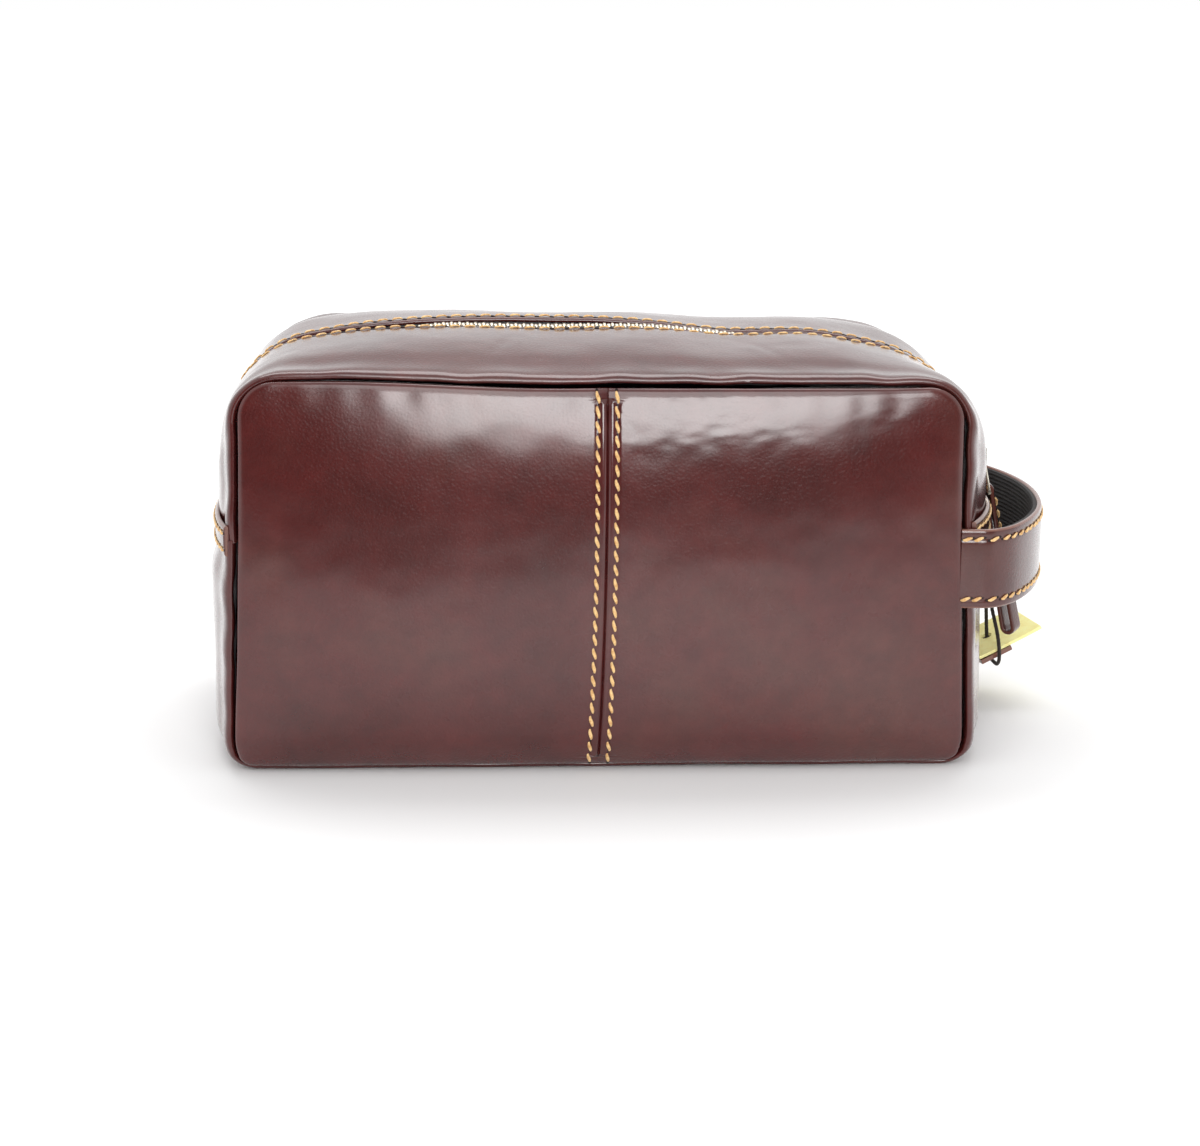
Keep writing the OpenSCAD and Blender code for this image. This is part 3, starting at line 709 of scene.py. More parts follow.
def panel_grid(side, seed):
    """Front panel half: side 1 is the right. Rows run up the outline, columns out from the seam."""
    u = steps((0, 3, 26), (3, 6, 12), (6, 13, 60), (13, 19, 26), (19, TOP, 44))
    rim = seam_outline(u)
    along = unit(np.gradient(rim, axis=0))
    inward = np.stack([-along[:, 1], along[:, 0]], -1)
    inward[0] = inward[1] = (0, 1)
    inward[-1] = inward[-2] = (0, -1)
    start = rim + inward * PANEL_ROLL[0][0] * MM
    high = SEAM_H / MM
    z = np.interp(u, [0, 3, 6, 13, 19, TOP], [6, 13, 19, high - 22, high - 13, high - 6]) * MM
    spine = stack(seam_drift(z) * side, z)
    columns, back = [], []
    for k in steps((0, 0.09, 16), (0.09, 1, 46)):
        columns.append(mix(spine, start, k))
        back.append(0.0)
    for inset, drop in PANEL_ROLL[1:]:
        columns.append(rim + inward * inset * MM)
        back.append(drop * MM)
    xz = np.stack(columns, 1)
    x, z = xz[..., 0], xz[..., 1]
    centre = seam_drift(z) * side
    closed = np.maximum(x, centre + 0.02 * MM)
    edge_row = np.zeros(len(u), bool)
    edge_row[[0, -1]] = True
    x = np.where(edge_row[:, None], centre + 0.02 * MM + 0 * x, closed)
    depth = swell(x, z) + panel_relief(x * side, z, seed) - np.array(back)[None, :]
    return stack(x, -depth, z)


def panel_thickness(grid):
    """The leather is pared thin where it is turned in, at the outline and at the centre seam."""
    t = np.full(grid.shape[:2], LEATHER_T)
    t[:, -6:] = 0.3 * MM
    t[:, :6] = 0.6 * MM
    return t


for side, label in SIDES:
    for back, face in FACES:
        grid = mirrored(panel_grid(side, 3.0 if back else 0.0), x=side < 0, y=back)
        piece = settled(sheet(f"leather_{face}_{label}", grid, panel_thickness(grid)))
        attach(finished(piece, LEATHER, "leather", f"{face}_panel_{label}"), "root")


def panel_point(x, z, seed):
    """A point on the leather of the front panel."""
    return np.array([x, -float(swell(x, z) + panel_relief(np.array(x), np.array(z), seed)), z])


def seam_places(back):
    """Where the centre seam's stitches go on the front or the back panel."""
    turn = np.array([1, -1 if back else 1, 1])
    seed = 3.0 if back else 0.0
    for row in (-1, 1):
        for z in np.arange(SEAM_H - 3.9 * MM, 2.4 * MM, -PANEL_PITCH):
            x = float(seam_drift(z) + row * SEAM_ROW)
            p = panel_point(x, z, seed)
            up = unit(panel_point(float(seam_drift(z + MM)) + row * SEAM_ROW, z + MM, seed) - p)
            across = unit(panel_point(x + 0.3 * MM, z, seed) - panel_point(x - 0.3 * MM, z, seed))
            out = unit(np.cross(across, up))
            yield tuple(v * turn for v in (p, up, across, out))


for back, face in FACES:
    places, nodes = list(seam_places(back)), [f"{face}_seam_thread"]
    for piece in stitch_rows(f"stitches_{face}", places, 4.2 * MM, -0.16, "leather", nodes):
        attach(piece, "root")


def seam_tape_grid():
    """The backing tape behind the front panel's centre seam."""
    x, z = np.meshgrid(np.linspace(-6, 6, 7) * MM, np.linspace(5 * MM, SEAM_H - 5 * MM, 60))
    x = x + seam_drift(z)
    return stack(x, -(swell(x, z) - LEATHER_T - 1.4 * MM), z)


for back, face in FACES:
    piece = settled(sheet(f"tape_of_{face}_seam", mirrored(seam_tape_grid(), y=back), 0.4 * MM))
    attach(finished(piece, BINDING, "binding_tape", f"{face}_seam_tape"), "root")


# ---- gusset

SEAM_ROLL = [(55.2, 3.3), (56.4, 2.5), (57.3, 1.8), (57.7, 1.2), (57.5, 0.5), (57.0, 0.12), (56.2, 0.0)]
ZIP_ROLL = [(4.3, 0.0), (3.75, 0.06), (3.4, 0.25), (3.2, 0.6), (3.2, 1.05), (3.5, 1.35)]


def gusset_relief(u, y, seed, side):
    """Puckers along the seam, a channel under the zip's stitches, soft dents."""
    p = skin(u, y) * np.array([side, 1, 1])
    depth = np.abs(y)
    stretched = p * np.array([1, 0.35, 1])
    pucker = field(stretched, 0.010, 5.2 + seed)
    height = 0.38 * MM * bump(depth, HALF_DEPTH - 7 * MM, 8 * MM) * pucker
    height += 0.45 * MM * bump(depth, HALF_DEPTH - 4.2 * MM, 2.8 * MM) * (1 + 0.7 * pucker)
    gather = 1 + 0.8 * field(stretched, 0.020, 1.9 + seed)
    height -= 0.50 * MM * bump(depth, HALF_DEPTH - 12 * MM, 4.5 * MM) * gather
    height += 0.55 * MM * field(p, 0.040, 2.2 + seed)
    height += 0.15 * MM * field(p, 0.013, 8.4 + seed, 2)
    x, run = p[..., 0], depth - 0.03
    crease = bump(x, -0.030 - 0.25 * run, 1.3 * MM) + 0.6 * bump(x, 0.052 + 0.4 * run, 1.6 * MM)
    crease = crease * bump(depth, 0.030, 9 * MM) * (y < 0)
    height -= np.where(u >= JOIN, 0.38 * MM * crease + 0.28 * MM * bump(depth, ZIP_STITCH_Y, 0.6 * MM), 0)
    return height


def gusset_grid(u, columns, seed, side=1):
    """Gusset surface: rows at outline indices u, columns of (y, depth under the face) in mm."""
    y = np.array([c[0] for c in columns]) * MM
    depth = np.array([c[1] for c in columns]) * MM
    uu, yy = np.meshgrid(u, y, indexing="ij")
    height = gusset_relief(uu, yy, seed, side) - depth[None, :]
    return skin(uu, yy) + skin_normal(uu, yy) * height[..., None]


def blended(piece, side):
    """Bakes the piece's placement into its points."""
    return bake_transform(piece)


def quarter_nodes(side, label, face, whole, end):
    """CAD nodes that one quarter of the zip's run replaces; each node is named once in the whole run."""
    nodes = [f"{whole}_{face}"] if side > 0 else []
    return nodes + ([f"{end}_{label}"] if face == "front" else [])


UPPER_U = steps((JOIN - 0.05, 13, 26), (13, 19, 46), (19, TOP, 60))
ZIP_U = UPPER_U[4:]  # the zip and its lining start above the end bands
HALF_COLUMNS = SEAM_ROLL + [(y, 0.0) for y in np.linspace(55, 7.5, 34)] \
    + [(y, 0.0) for y in np.linspace(7, 4.8, 8)] + ZIP_ROLL
front_columns = [(-y, d) for y, d in HALF_COLUMNS]
back_columns = [(y, d) for y, d in HALF_COLUMNS]
gusset_t = np.full(len(HALF_COLUMNS), LEATHER_T)
gusset_t[:6] = 0.3 * MM
gusset_t[-5:] = 0.4 * MM

for side, label in SIDES:
    for face in ("front", "back"):
        columns = front_columns if face == "front" else back_columns
        grid = gusset_grid(UPPER_U, columns, 0.0 if face == "front" else 1.0, side)
        grid = grid if face == "front" else grid[:, ::-1]
        thickness = gusset_t if face == "front" else gusset_t[::-1]
        if side < 0:
            grid, thickness = mirrored(grid, x=True), thickness[::-1]
        piece = settled(sheet(f"leather_zip_{face}_{label}", grid, thickness))
        nodes = [f"gusset_end_{label}_{face}"] + ([f"zip_gusset_{face}"] if side > 0 else [])
        blended(finished(piece, LEATHER, "leather", *nodes), side)

LOWER_U = steps((-JOIN, -6, 26), (-6, -3, 18), (-3, 3, 40), (3, 6, 18), (6, JOIN, 26))
inside = [(y, 0.0) for y in np.linspace(-55, 55, 50)]
lower_columns = [(-y, d) for y, d in SEAM_ROLL] + inside + [(y, d) for y, d in SEAM_ROLL[::-1]]
grid = gusset_grid(LOWER_U, lower_columns, 2.0)
grid[..., 2] = np.maximum(grid[..., 2], 0.02 * MM)
thickness = np.full(len(lower_columns), LEATHER_T)
thickness[:6] = thickness[-6:] = 0.3 * MM
piece = settled(sheet("leather_lower", grid, thickness))
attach(finished(piece, LEATHER, "leather", "base_gusset"), "root")


# ---- zip

def chain_lift(run):
    """The chain rises towards the open gap, left of the middle, and lies deep towards both ends."""
    return 1.7 * MM * smooth((run + 0.066) / 0.02) * (1 - smooth((run - 0.034) / 0.024))


def zip_end(side):
    return ARCH_RUN + CORNER_RUN + (-1.2 * MM if side > 0 else 3 * MM)


def zip_stitch_places(side, face):
    """Stitches of one half of one edge, from the top's middle to the end band."""
    end = ARCH_RUN + CORNER_RUN + CORNER_Z - BAND_HIGH
    count = int(end / ZIP_PITCH)
    y = (-1 if face == "front" else 1) * ZIP_STITCH_Y
    for i in range(count):
        s = side * (i + 0.5) * end / count
        yield zip_frame(s, y, -0.05 * MM)


for side, label in SIDES:
    for face in ("front", "back"):
        nodes = []
        if side > 0:
            nodes = [f"zip_thread_{face}"] + (["gusset_end_thread"] if face == "front" else [])
        places, slant = list(zip_stitch_places(side, face)), 0.14 * side
        for piece in stitch_rows(f"stitches_zip_{face}_{label}", places, 3.9 * MM, slant, "leather", nodes):
            blended(piece, side)


def tooth_shape():
    """One zip tooth, a bevelled block with a raised round head: X along the zip, Y towards its head."""
    half = np.array([0.6, 1.5, 0.9]) * MM
    levels = (-1.0, 0.72), (-0.86, 0.95), (-0.2, 1.0), (0.35, 0.92), (0.75, 1.0), (0.93, 0.86), (1.0, 0.55)
    a = circle(12)
    x, z = squarish(np.cos(a), 0.5) * half[0], squarish(np.sin(a), 0.5) * half[2]
    vertices = np.concatenate([np.stack([x * w, np.full(12, t * half[1]), z * w], -1) for t, w in levels])
    faces = grid_faces(len(levels), 12, wrap_cols=True).tolist()
    faces += [list(range(11, -1, -1)), [(len(levels) - 1) * 12 + j for j in range(12)]]
    return vertices, faces, vertices[:, :2]


TOOTH_PITCH = 2.6 * MM
TOOTH_DEPTH = 2.05 * MM
base, quads, uv = tooth_shape()
CHAIN_RUN = ARCH_RUN * np.clip((TOP - ZIP_U) / (TOP - 19), 0, 2)
for side, label in SIDES:
    for face in ("front", "back"):
        toward = 1 if face == "front" else -1
        shapes = []
        shift = TOOTH_PITCH * (0.5 if face == "front" else 0.0 if side > 0 else 1.0)
        for i in range(int((zip_end(side) - shift) / TOOTH_PITCH) + 1):
            run = side * (shift + i * TOOTH_PITCH)
            origin, along, across, out = zip_frame(run, -toward * 1.0 * MM, chain_lift(run) - TOOTH_DEPTH)
            turn = np.stack([along * toward * side, across * toward, out])
            shapes.append((base @ turn + origin, quads, uv))
        nodes = quarter_nodes(side, label, face, "zip_teeth", "zip_teeth_end")
        piece = finished(joined(f"teeth_{face}_{label}", shapes), NICKEL, "zip_metal", *nodes)
        blended(settled(piece, ZIP_GAPE_AT), side)

        uu, yy = np.meshgrid(ZIP_U, -np.linspace(12, 1.0, 16) * MM, indexing="ij")
        deep = 1.85 * MM - chain_lift(side * CHAIN_RUN)[:, None] * smooth((yy + 3.7 * MM) / (0.9 * MM))
        grid = skin(uu, yy) - skin_normal(uu, yy) * deep[..., None]
        grid = mirrored(grid, x=side < 0, y=face == "back")
        nodes = quarter_nodes(side, label, face, "zip_tape", "zip_tape_end")
        piece = settled(sheet(f"tape_{face}_{label}", grid, 0.45 * MM), ZIP_GAPE_AT)
        blended(finished(piece, TAPE, "zip_tape", *nodes), side)

    stop = []
    for y in (-1.4 * MM, 1.4 * MM):
        origin, along, across, out = zip_frame(side * (ARCH_RUN + CORNER_RUN + 6 * MM), y, -TOOTH_DEPTH)
        turn = np.stack([along * side * 1.5, across * 0.7, out])
        stop.append((base @ turn + origin, quads, uv))
    piece = settled(joined(f"zip_stop_{label}", stop), ZIP_GAPE_AT)
    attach(finished(piece, NICKEL, "zip_metal", *(["zip_stops"] if side > 0 else [])), "root")


# ---- end bands

def strap_profile(low, high, thick, channel, crown=0.25 * MM, edge=0.6 * MM):
    """Closed (out, up) outline of a sewn strap: crowned face, stitch channels, rounded edges."""
    width = high - low
    up = np.linspace(edge, width - edge, 40)
    face = thick + crown * (1 - (2 * up / width - 1) ** 4)
    for at in (channel, width - channel):
        face -= 0.22 * MM * bump(up, at, 0.55 * MM)
    front = stack(face, up)
    turn = np.linspace(0, math.pi / 2, 5)
    top = stack(thick - edge + edge * np.cos(turn), width - edge + edge * np.sin(turn))[1:]
    back_top = stack(edge * (1 - np.sin(turn)), width - edge + edge * np.cos(turn))
    back = stack(np.zeros(6), np.linspace(width - edge, edge, 6))[1:-1]
    back_low = stack(edge * (1 - np.cos(turn)), edge * (1 - np.sin(turn)))
    low_edge = stack(thick - edge + edge * np.sin(turn), edge * (1 - np.cos(turn)))[:-1]
    outline = np.concatenate([front, top, back_top, back, back_low, low_edge])
    outline[:, 1] += low
    parts = (front, 0), (top, 0.9), (back_top, 0.9), (back, 0), (back_low, 0.9), (low_edge, 0.9)
    return outline, np.concatenate([np.full(len(part), float(worn)) for part, worn in parts])


def band_line(count):
    """The right end band's line, its direction and its outside, from front to back."""
    y = np.linspace(-56.9, 56.9, count) * MM
    z = (BAND_LOW + BAND_HIGH) / 2
    x = mix(CREST_HALF, seam_side(z), (np.abs(y) / HALF_DEPTH) ** 3)
    line = stack(x, y, 0 * y)
    t = unit(np.gradient(line, axis=0))
    return line, t, np.stack([t[:, 1], -t[:, 0], 0 * y], -1)


for side, label in SIDES:
    line, t, out = band_line(90)
    outline, wear = strap_profile(BAND_LOW, BAND_HIGH, 1.25 * MM, 2.1 * MM, crown=0.35 * MM)
    outline[:, 0] += 0.15 * MM
    flip = np.array([side, 1, 1])
    piece = swept(f"band_{label}", line * flip, out * flip, np.tile(Z_AXIS, (len(line), 1)),
                  outline if side > 0 else outline[::-1], wear if side > 0 else wear[::-1])
    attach(settled(finished(piece, STRAP, "strap_leather", f"end_band_{label}")), "root")
    places = []
    for row in (BAND_LOW + 2.1 * MM, BAND_HIGH - 2.1 * MM):
        dense, length = even(line, 400)
        for s in np.arange(2.5 * MM, length - 2 * MM, BAND_PITCH):
            k = int(s / length * 399)
            tk = unit(dense[min(k + 1, 399)] - dense[max(k - 1, 0)])
            ok = np.array([tk[1], -tk[0], 0])
            p = dense[k] + ok * 1.55 * MM
            p[2] = row
            places.append(tuple(v * flip for v in (p, tk, Z_AXIS, ok)))
    for piece in stitch_rows(f"stitches_band_{label}", places, 3.5 * MM, 0.1, "strap_leather",
                             ["band_thread"] if side > 0 else []):
        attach(piece, "root")


# ---- handle

HANDLE = [
    (0.1105, -0.0573), (0.1145, -0.0576), (0.1205, -0.0572), (0.1275, -0.0515), (0.135, -0.039),
    (0.1404, -0.0235), (0.1426, -0.006), (0.1418, 0.010), (0.1382, 0.0255), (0.1325, 0.039),
    (0.126, 0.0505), (0.1195, 0.0566), (0.1105, 0.0573),
]
handle_line, handle_length = even(spline([(x, y, 0) for x, y in HANDLE], 16), 170)
handle_along = unit(np.gradient(handle_line, axis=0))
handle_out = np.stack([handle_along[:, 1], -handle_along[:, 0], 0 * handle_along[:, 0]], -1)
handle_up = np.tile(Z_AXIS, (len(handle_line), 1))

outline, wear = strap_profile(STRAP_LOW, STRAP_HIGH, 1.6 * MM, 3 * MM, crown=0.15 * MM, edge=0.7 * MM)
piece = swept("handle_leather", handle_line, handle_out, handle_up, outline, wear)
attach(finished(piece, STRAP, "strap_leather", "handle_strap"), "root")

ribs = np.linspace(0.5 * MM, STRAP_HIGH - STRAP_LOW - 0.5 * MM, 241)
inner = -0.85 * MM - 0.50 * MM * np.abs(np.sin(ribs / (1.35 * MM) * math.pi))
ribbed = np.concatenate([
    np.stack([np.full(4, -0.02 * MM), np.linspace(ribs[0], ribs[-1], 4)], -1),
    stack(inner, ribs)[::-1],
])
ribbed[:, 1] += STRAP_LOW
piece = swept("handle_ribbed_webbing", handle_line, handle_out, handle_up, ribbed)
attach(finished(piece, WEBBING, "webbing", "handle_webbing"), "root")

places = []
for z in (STRAP_LOW + 3 * MM, STRAP_HIGH - 3 * MM):
    for s in np.arange(1.5 * MM, handle_length - 1 * MM, HANDLE_PITCH):
        k = int(round(s / handle_length * (len(handle_line) - 1)))
        p = handle_line[k] + handle_out[k] * 1.55 * MM
        p = np.array([p[0], p[1], z])
        places.append((p, handle_along[k], Z_AXIS, handle_out[k]))
nodes = ["handle_thread"]
for piece in stitch_rows("stitches_handle", places, 3.4 * MM, 0.24, "strap_leather", nodes, shell=False):
    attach(piece, "root")


# ---- pull

pin = np.array(JOINTS["pull_swing"]["pos_m"])
PULL_TILT = math.radians(12)
down = np.array([math.sin(PULL_TILT), 0, -math.cos(PULL_TILT)])
outwards = np.array([math.cos(PULL_TILT), 0, math.sin(PULL_TILT)])


def pull_loop():
    """Centre line and width direction of the folded thong, a teardrop that twists lower down."""
    eye, bulb, top, low = 1.5 * MM, 1.95 * MM, 9.5 * MM, 57.2 * MM
    turn = np.linspace(math.pi, 0, 13)
    over = stack(eye * np.cos(turn), top - eye * np.sin(turn))
    run = np.linspace(0, 1, 34)[1:-1]
    right = stack(mix(eye, bulb, run) - 0.7 * MM * bump(run, 0.3, 0.25), mix(top, low, run))
    turn = np.linspace(0, math.pi, 17)
    under = stack(bulb * np.cos(turn), low + bulb * np.sin(turn))
    left = np.stack([-right[::-1, 0], right[::-1, 1]], -1)
    flat = np.concatenate([over, right, under, left])
    twist = math.radians(-38) * smooth((flat[:, 1:] - 18 * MM) / (32 * MM))
    aside = np.cos(twist) * outwards + np.sin(twist) * Y_AXIS
    wide = np.cos(twist) * Y_AXIS - np.sin(twist) * outwards
    return pin + flat[:, :1] * aside + flat[:, 1:] * down, wide


loop, across = pull_loop()
tangent = unit(np.roll(loop, -1, 0) - np.roll(loop, 1, 0))
normal = unit(np.cross(tangent, across))
half_w, half_t = 2.5 * MM, 0.75 * MM
a = circle(24)
section = stack(half_t * squarish(np.sin(a), 0.45), half_w * squarish(np.cos(a), 0.3))
worn = (np.abs(np.cos(a)) > 0.9) * 0.3
piece = swept("pull_thong", loop, normal, across, section, wear=worn, closed=True)
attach(finished(piece, STRAP, "strap_leather", "leather_pull"), "pull")

places = []
for row in (-1.4 * MM, 1.4 * MM):
    for i in range(3):
        run = 14 + 4.2 * i
        p = pin + down * run * MM + outwards * 2.1 * MM + np.array([0, row, 0])
        places.append((p, down, Y_AXIS, outwards))
nodes = ["pull_thread"]
for piece in stitch_rows("stitches_pull", places, 3.2 * MM, 0.1, "strap_leather", nodes, shell=False):
    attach(piece, "pull")


# ---- hang tag and its cord

CORD_ROUTE = [
    (0.129, 0.0053, 0.0734), (0.1293, 0.0059, 0.068), (0.1303, 0.008, 0.058), (0.1315, 0.011, 0.047),
    (0.1328, 0.0145, 0.036), (0.134, 0.018, 0.026), (0.1346, 0.0196, 0.0215), (0.1349, 0.0195, 0.0184),
    (0.1352, 0.0179, 0.0157), (0.1355, 0.0148, 0.0144), (0.1358, 0.011, 0.0142), (0.136, 0.007, 0.0147),
    (0.1361, 0.0043, 0.0167), (0.136, 0.0038, 0.020), (0.1352, 0.0042, 0.026), (0.133, 0.0044, 0.035),
    (0.1304, 0.0044, 0.047), (0.1297, 0.0042, 0.060), (0.1304, 0.0038, 0.0734),
]
CORD_D = 1.3 * MM


def twisted_cord(name, route, diameter, count):
    """Round cord of three plies along a route."""
    line, length = even(spline(route, 12), count)
    t = unit(np.gradient(line, axis=0))
    side = unit(np.cross(t, np.array([1.0, 0, 0.05])))
    up = np.cross(t, side)
    a = circle(12)
    s = np.linspace(0, length, count)
    lobes = 1 - 0.10 * (1 - np.cos(3 * (a[None, :] - s[:, None] / (4.2 * MM) * 2 * math.pi))) / 2
    r = diameter / 2 * 1.02 * lobes
    rings = line[:, None] + side[:, None] * (r * np.cos(a))[..., None]
    rings += up[:, None] * (r * np.sin(a))[..., None]
    faces = grid_faces(count, 12, wrap_cols=True, flip=True).tolist()
    faces += [list(range(12)), [(count - 1) * 12 + 11 - j for j in range(12)]]
    uv = np.stack(np.meshgrid(a * diameter / 2, s), -1).reshape(-1, 2)
    return mesh_object(name, rings.reshape(-1, 3), faces, uv), line, length


cord, cord_line, cord_length = twisted_cord("cord_of_tag", CORD_ROUTE, CORD_D, 420)
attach(finished(cord, CORD, "cord", "tag_cord"), "tag")


def knot_shape():
    """An overhand knot: a few turns of the same cord, wound into a small ball."""
    centre = np.array([0.1297, 0.0045, 0.0745])
    t = np.linspace(0, 1, 90)
    a = t * 2 * math.pi * 2.5
    r = 0.95 * MM * (1 + 0.15 * np.sin(3 * a))
    rise = (t - 0.5) * 1.7 * MM + 0.3 * MM * np.sin(2 * a)
    return stack(r * np.cos(a), r * np.sin(a) * 0.9, rise) + centre


knot, _, _ = twisted_cord("knot_of_tag", [tuple(p) for p in knot_shape()[::6]], CORD_D * 0.95, 120)
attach(finished(knot, CORD, "cord", "tag_knot"), "tag")

tag_corner = np.array([0.1515, 0.010, 0.026])
yaw, pitch = math.radians(13.3), math.radians(22.5)
tag_x = np.array([math.cos(pitch) * math.cos(yaw), math.cos(pitch) * math.sin(yaw), math.sin(pitch)])
tag_y = np.array([-math.sin(yaw), math.cos(yaw), 0])
tag_z = np.cross(tag_x, tag_y)
TAG_W = 24 * MM


def tag_plate(name, low, high, base, thick, curl):
    """A flat piece of the tag with its round hole: rings of points from the hole out to its edges."""
    centre, hole = np.array([-15.3 * MM, 13 * MM]), 1.9 * MM
    corners = np.array([(x, y) for x in (low[0], high[0]) for y in (low[1], high[1])]) - centre
    angles = np.arctan2(corners[:, 1], corners[:, 0])
    a = np.sort(np.concatenate([angles, np.linspace(-math.pi, math.pi, 97)[1:]]))
    c = stack(np.cos(a), np.sin(a))
    c = np.where(np.abs(c) < 1e-9, 1e-9, c)
    reach = np.min(np.where(c > 0, np.array(high) - centre, np.array(low) - centre) / c, axis=-1)
    flat = np.stack([centre + c * mix(hole, reach, k)[:, None] for k in np.linspace(0, 1, 14)], 0)
    lift = base + curl * ((flat[..., 0] / TAG_W + 0.5) ** 2 - 0.1)
    under = tag_corner + flat[..., :1] * tag_x + flat[..., 1:] * tag_y + lift[..., None] * tag_z
    rows = np.concatenate([under + thick * tag_z, under[::-1]])
    faces = grid_faces(len(rows), len(a), wrap_rows=True, wrap_cols=True, flip=True)
    uv = np.concatenate([flat, flat[::-1]]).reshape(-1, 2)
    worn = np.zeros(rows.shape[:2])
    worn[[len(flat) - 1, len(flat)]] = 1
    return mesh_object(name, rows.reshape(-1, 3), faces, uv, worn)


plate = tag_plate("tag_plate", (-TAG_W, 0), (0, TAG_W), 0.1 * MM, 1.0 * MM, 0.9 * MM)
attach(finished(plate, CARD, "tag_card", "hang_tag"), "tag")
sample = tag_plate("tag_leather", (-TAG_W, -0.6 * MM), (-12.4 * MM, 17.4 * MM), -1.6 * MM, 1.5 * MM, 0.0)
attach(finished(sample, STRAP, "strap_leather", "tag_sample"), "tag")
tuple(CORD_ROUTE[0])


# ---- lining

def lining_columns(*stretch):
    return [(y, LINING_DEPTH) for y in np.linspace(*stretch)]


for side, label in SIDES:
    for face in ("front", "back"):
        grid = gusset_grid(ZIP_U, lining_columns(-54, -11.8, 16), 4.0)
        grid = mirrored(grid, x=side < 0, y=face == "back")
        piece = settled(sheet(f"lining_zip_{face}_{label}", grid, LINING_T))
        nodes = quarter_nodes(side, label, face, "lining_top", "lining_end")
        blended(finished(piece, LINING, "lining_cloth", *nodes), side)
grid = gusset_grid(LOWER_U, lining_columns(-54, 54, 24), 4.0)
piece = settled(sheet("lining_lower", grid, LINING_T))
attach(finished(piece, LINING, "lining_cloth", "lining_base"), "root")


def drawn_in(count, in_x, in_z):
    """The right half of the front seam, shrunk towards the panel's middle."""
    rim = seam_outline(np.linspace(0, TOP, count))
    return np.stack([rim[:, 0] * in_x, SEAM_H / 2 + (rim[:, 1] - SEAM_H / 2) * in_z], -1)


def lining_panel_grid():
    """The right half of the lining behind the front panel."""
    inset = drawn_in(120, 1 - 3.8 * MM / TOP_HALF, 1 - 3.8 / 60)
    spine = stack(np.zeros(120), mix(6 * MM, SEAM_H - 6 * MM, np.linspace(0, 1, 120)))
    xz = np.stack([mix(spine, inset, k) for k in np.linspace(0, 1, 30)], 1)
    x, z = xz[..., 0], xz[..., 1]
    return stack(x, -(swell(x, z) - LEATHER_T - 1.3 * MM), z)


for back, face in FACES:
    for side, label in SIDES:
        grid = mirrored(lining_panel_grid(), x=side < 0, y=back)
        piece = settled(sheet(f"lining_{face}_{label}", grid, LINING_T))
        nodes = [f"lining_{face}"] if side > 0 else []
        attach(finished(piece, LINING, "lining_cloth", *nodes), "root")


def binding_loop():
    """Closed line in the seam allowance, round the front seam."""
    half = drawn_in(90, 0.957, 0.917)
    whole = np.concatenate([half, half[-2:0:-1] * np.array([-1, 1])])
    return np.stack([whole[:, 0], np.full(len(whole), -0.0551), whole[:, 1]], -1)


for back, face in FACES:
    line = binding_loop() * np.array([1, -1 if back else 1, 1])
    t = unit(np.roll(line, -1, 0) - np.roll(line, 1, 0))
    deep = np.tile(Y_AXIS, (len(line), 1))
    wide = unit(np.cross(t, deep))
    strip = np.array([(-0.4, -2.8), (0.4, -2.8), (0.5, 0), (0.4, 2.8), (-0.4, 2.8), (-0.5, 0)]) * MM
    piece = settled(swept(f"binding_{face}", line, deep, wide, strip, closed=True))
    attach(finished(piece, BINDING, "binding_tape", f"seam_binding_{face}"), "root")


# ---- carried-over CAD nodes

def repaint(material, slot, *names):
    for name in names:
        node = frame["nodes"][name]
        node.data.materials.clear()
        node.data.materials.append(material)


repaint(NICKEL, "slider_metal", "slider_body", "slider_bridge", "pull_link")
repaint(BOARD, "board", "base_board")

# ---- floor, light

floor = mesh_object("floor", [(-3, -0.37, 0), (3, -0.37, 0), (3, 0.42, 0), (-3, 0.42, 0)], [[0, 1, 2, 3]])
floor.data.materials.append(floor_material())


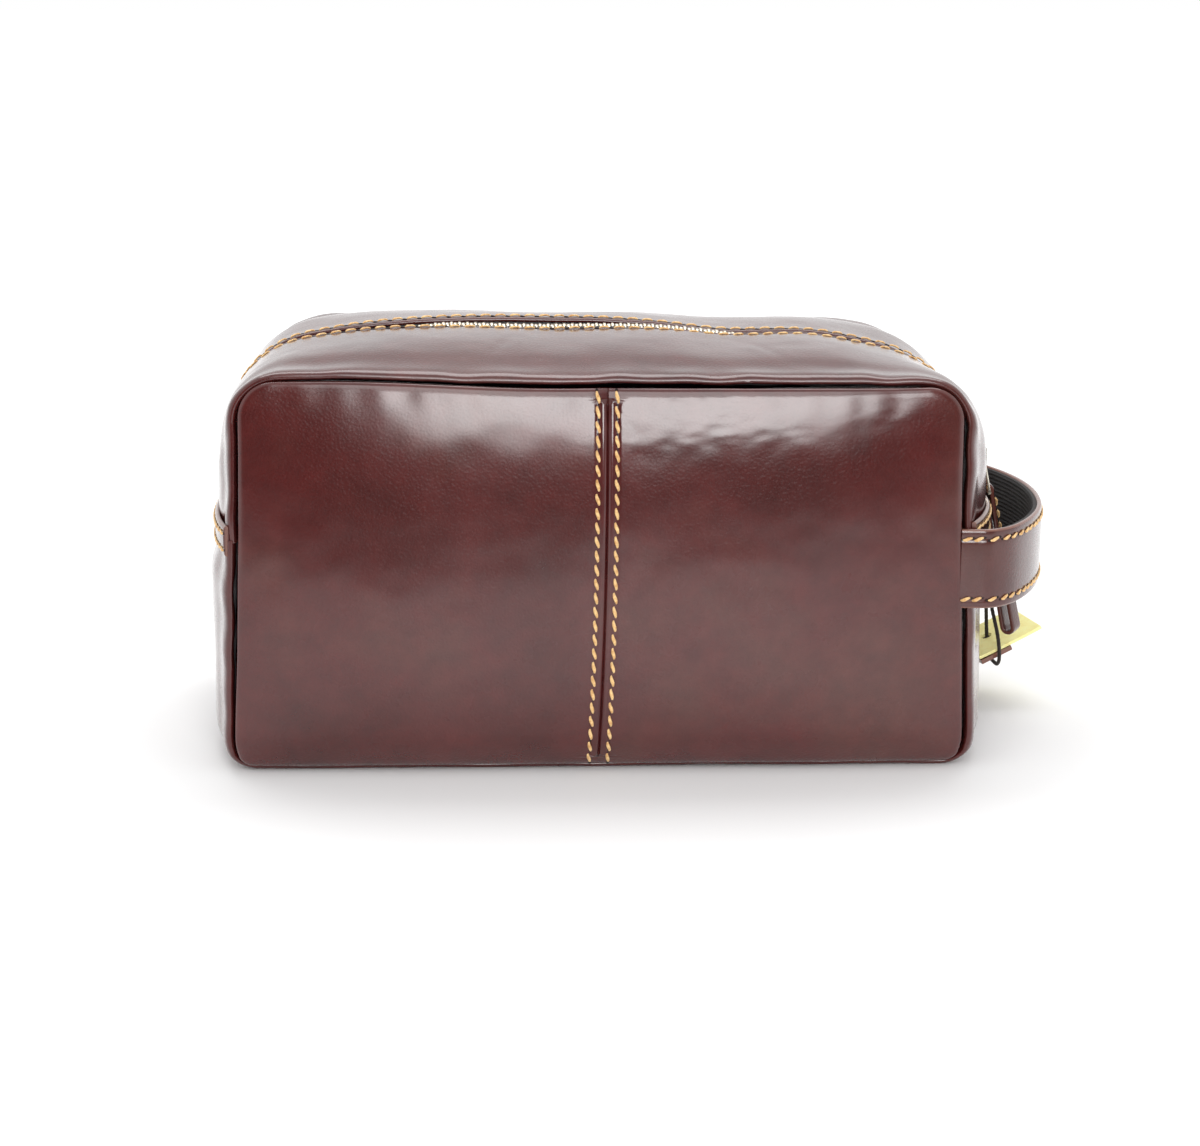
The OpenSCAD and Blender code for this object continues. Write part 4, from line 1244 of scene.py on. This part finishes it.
def area_light(name, place, target, size, radiance):
    """A soft rectangular light; its radiance is what a mirror would see."""
    light = bpy.data.lights.new(name, "AREA")
    light.shape = "RECTANGLE"
    light.size, light.size_y = size
    light.energy = radiance * math.pi * size[0] * size[1]
    obj = bpy.data.objects.new(name, light)
    obj.location = place
    obj.rotation_euler = (Vector(target) - Vector(place)).to_track_quat("-Z", "Y").to_euler()
    bpy.context.scene.collection.objects.link(obj)


area_light("overhead", (0, 0.35, 1.0), (0, 0.1, 0), (1.2, 0.5), 3.4)
area_light("front_card", (0.09, -1.25, 0.290), (0.05, 0, 0.11), (0.48, 0.40), 11)
area_light("upper_card", (0.04, -1.10, 0.800), (0, 0, 0.11), (0.58, 0.62), 4)

world = bpy.data.worlds.new("studio")
bpy.context.scene.world = world
world.use_nodes = True
tree = world.node_tree
coords = tree.nodes.new("ShaderNodeTexCoord")
split = tree.nodes.new("ShaderNodeSeparateXYZ")
tree.links.new(coords.outputs["Generated"], split.inputs[0])


def world_range(axis, low, high, dark, bright):
    """Brightness from dark to bright as one coordinate of the direction goes from low to high."""
    node = tree.nodes.new("ShaderNodeMapRange")
    node.interpolation_type = "SMOOTHSTEP"
    for key, value in (("From Min", low), ("From Max", high), ("To Min", dark), ("To Max", bright)):
        node.inputs[key].default_value = value
    tree.links.new(split.outputs[axis], node.inputs["Value"])
    return node.outputs["Result"]


def world_math(operation, a, b):
    node = tree.nodes.new("ShaderNodeMath")
    node.operation = operation
    tree.links.new(a, node.inputs[0])
    tree.links.new(b, node.inputs[1])
    return node.outputs[0]


room = world_range("Y", -0.90, -0.55, 0.02, 0.95)
below, behind = world_range("Z", 0.0, -0.03, 0.0, 1.35), world_range("Y", 0.0, 0.3, 0.0, 1.0)
backdrop = world_math("MULTIPLY", below, behind)
seen = tree.nodes.new("ShaderNodeLightPath").outputs["Is Camera Ray"]
pale = world_math("MAXIMUM", world_math("MAXIMUM", room, backdrop), seen)
tree.links.new(pale, tree.nodes["Background"].inputs["Strength"])
tree.nodes["Background"].inputs["Color"].default_value = (1, 1, 1, 1)

bpy.context.scene.view_settings.view_transform = "Standard"
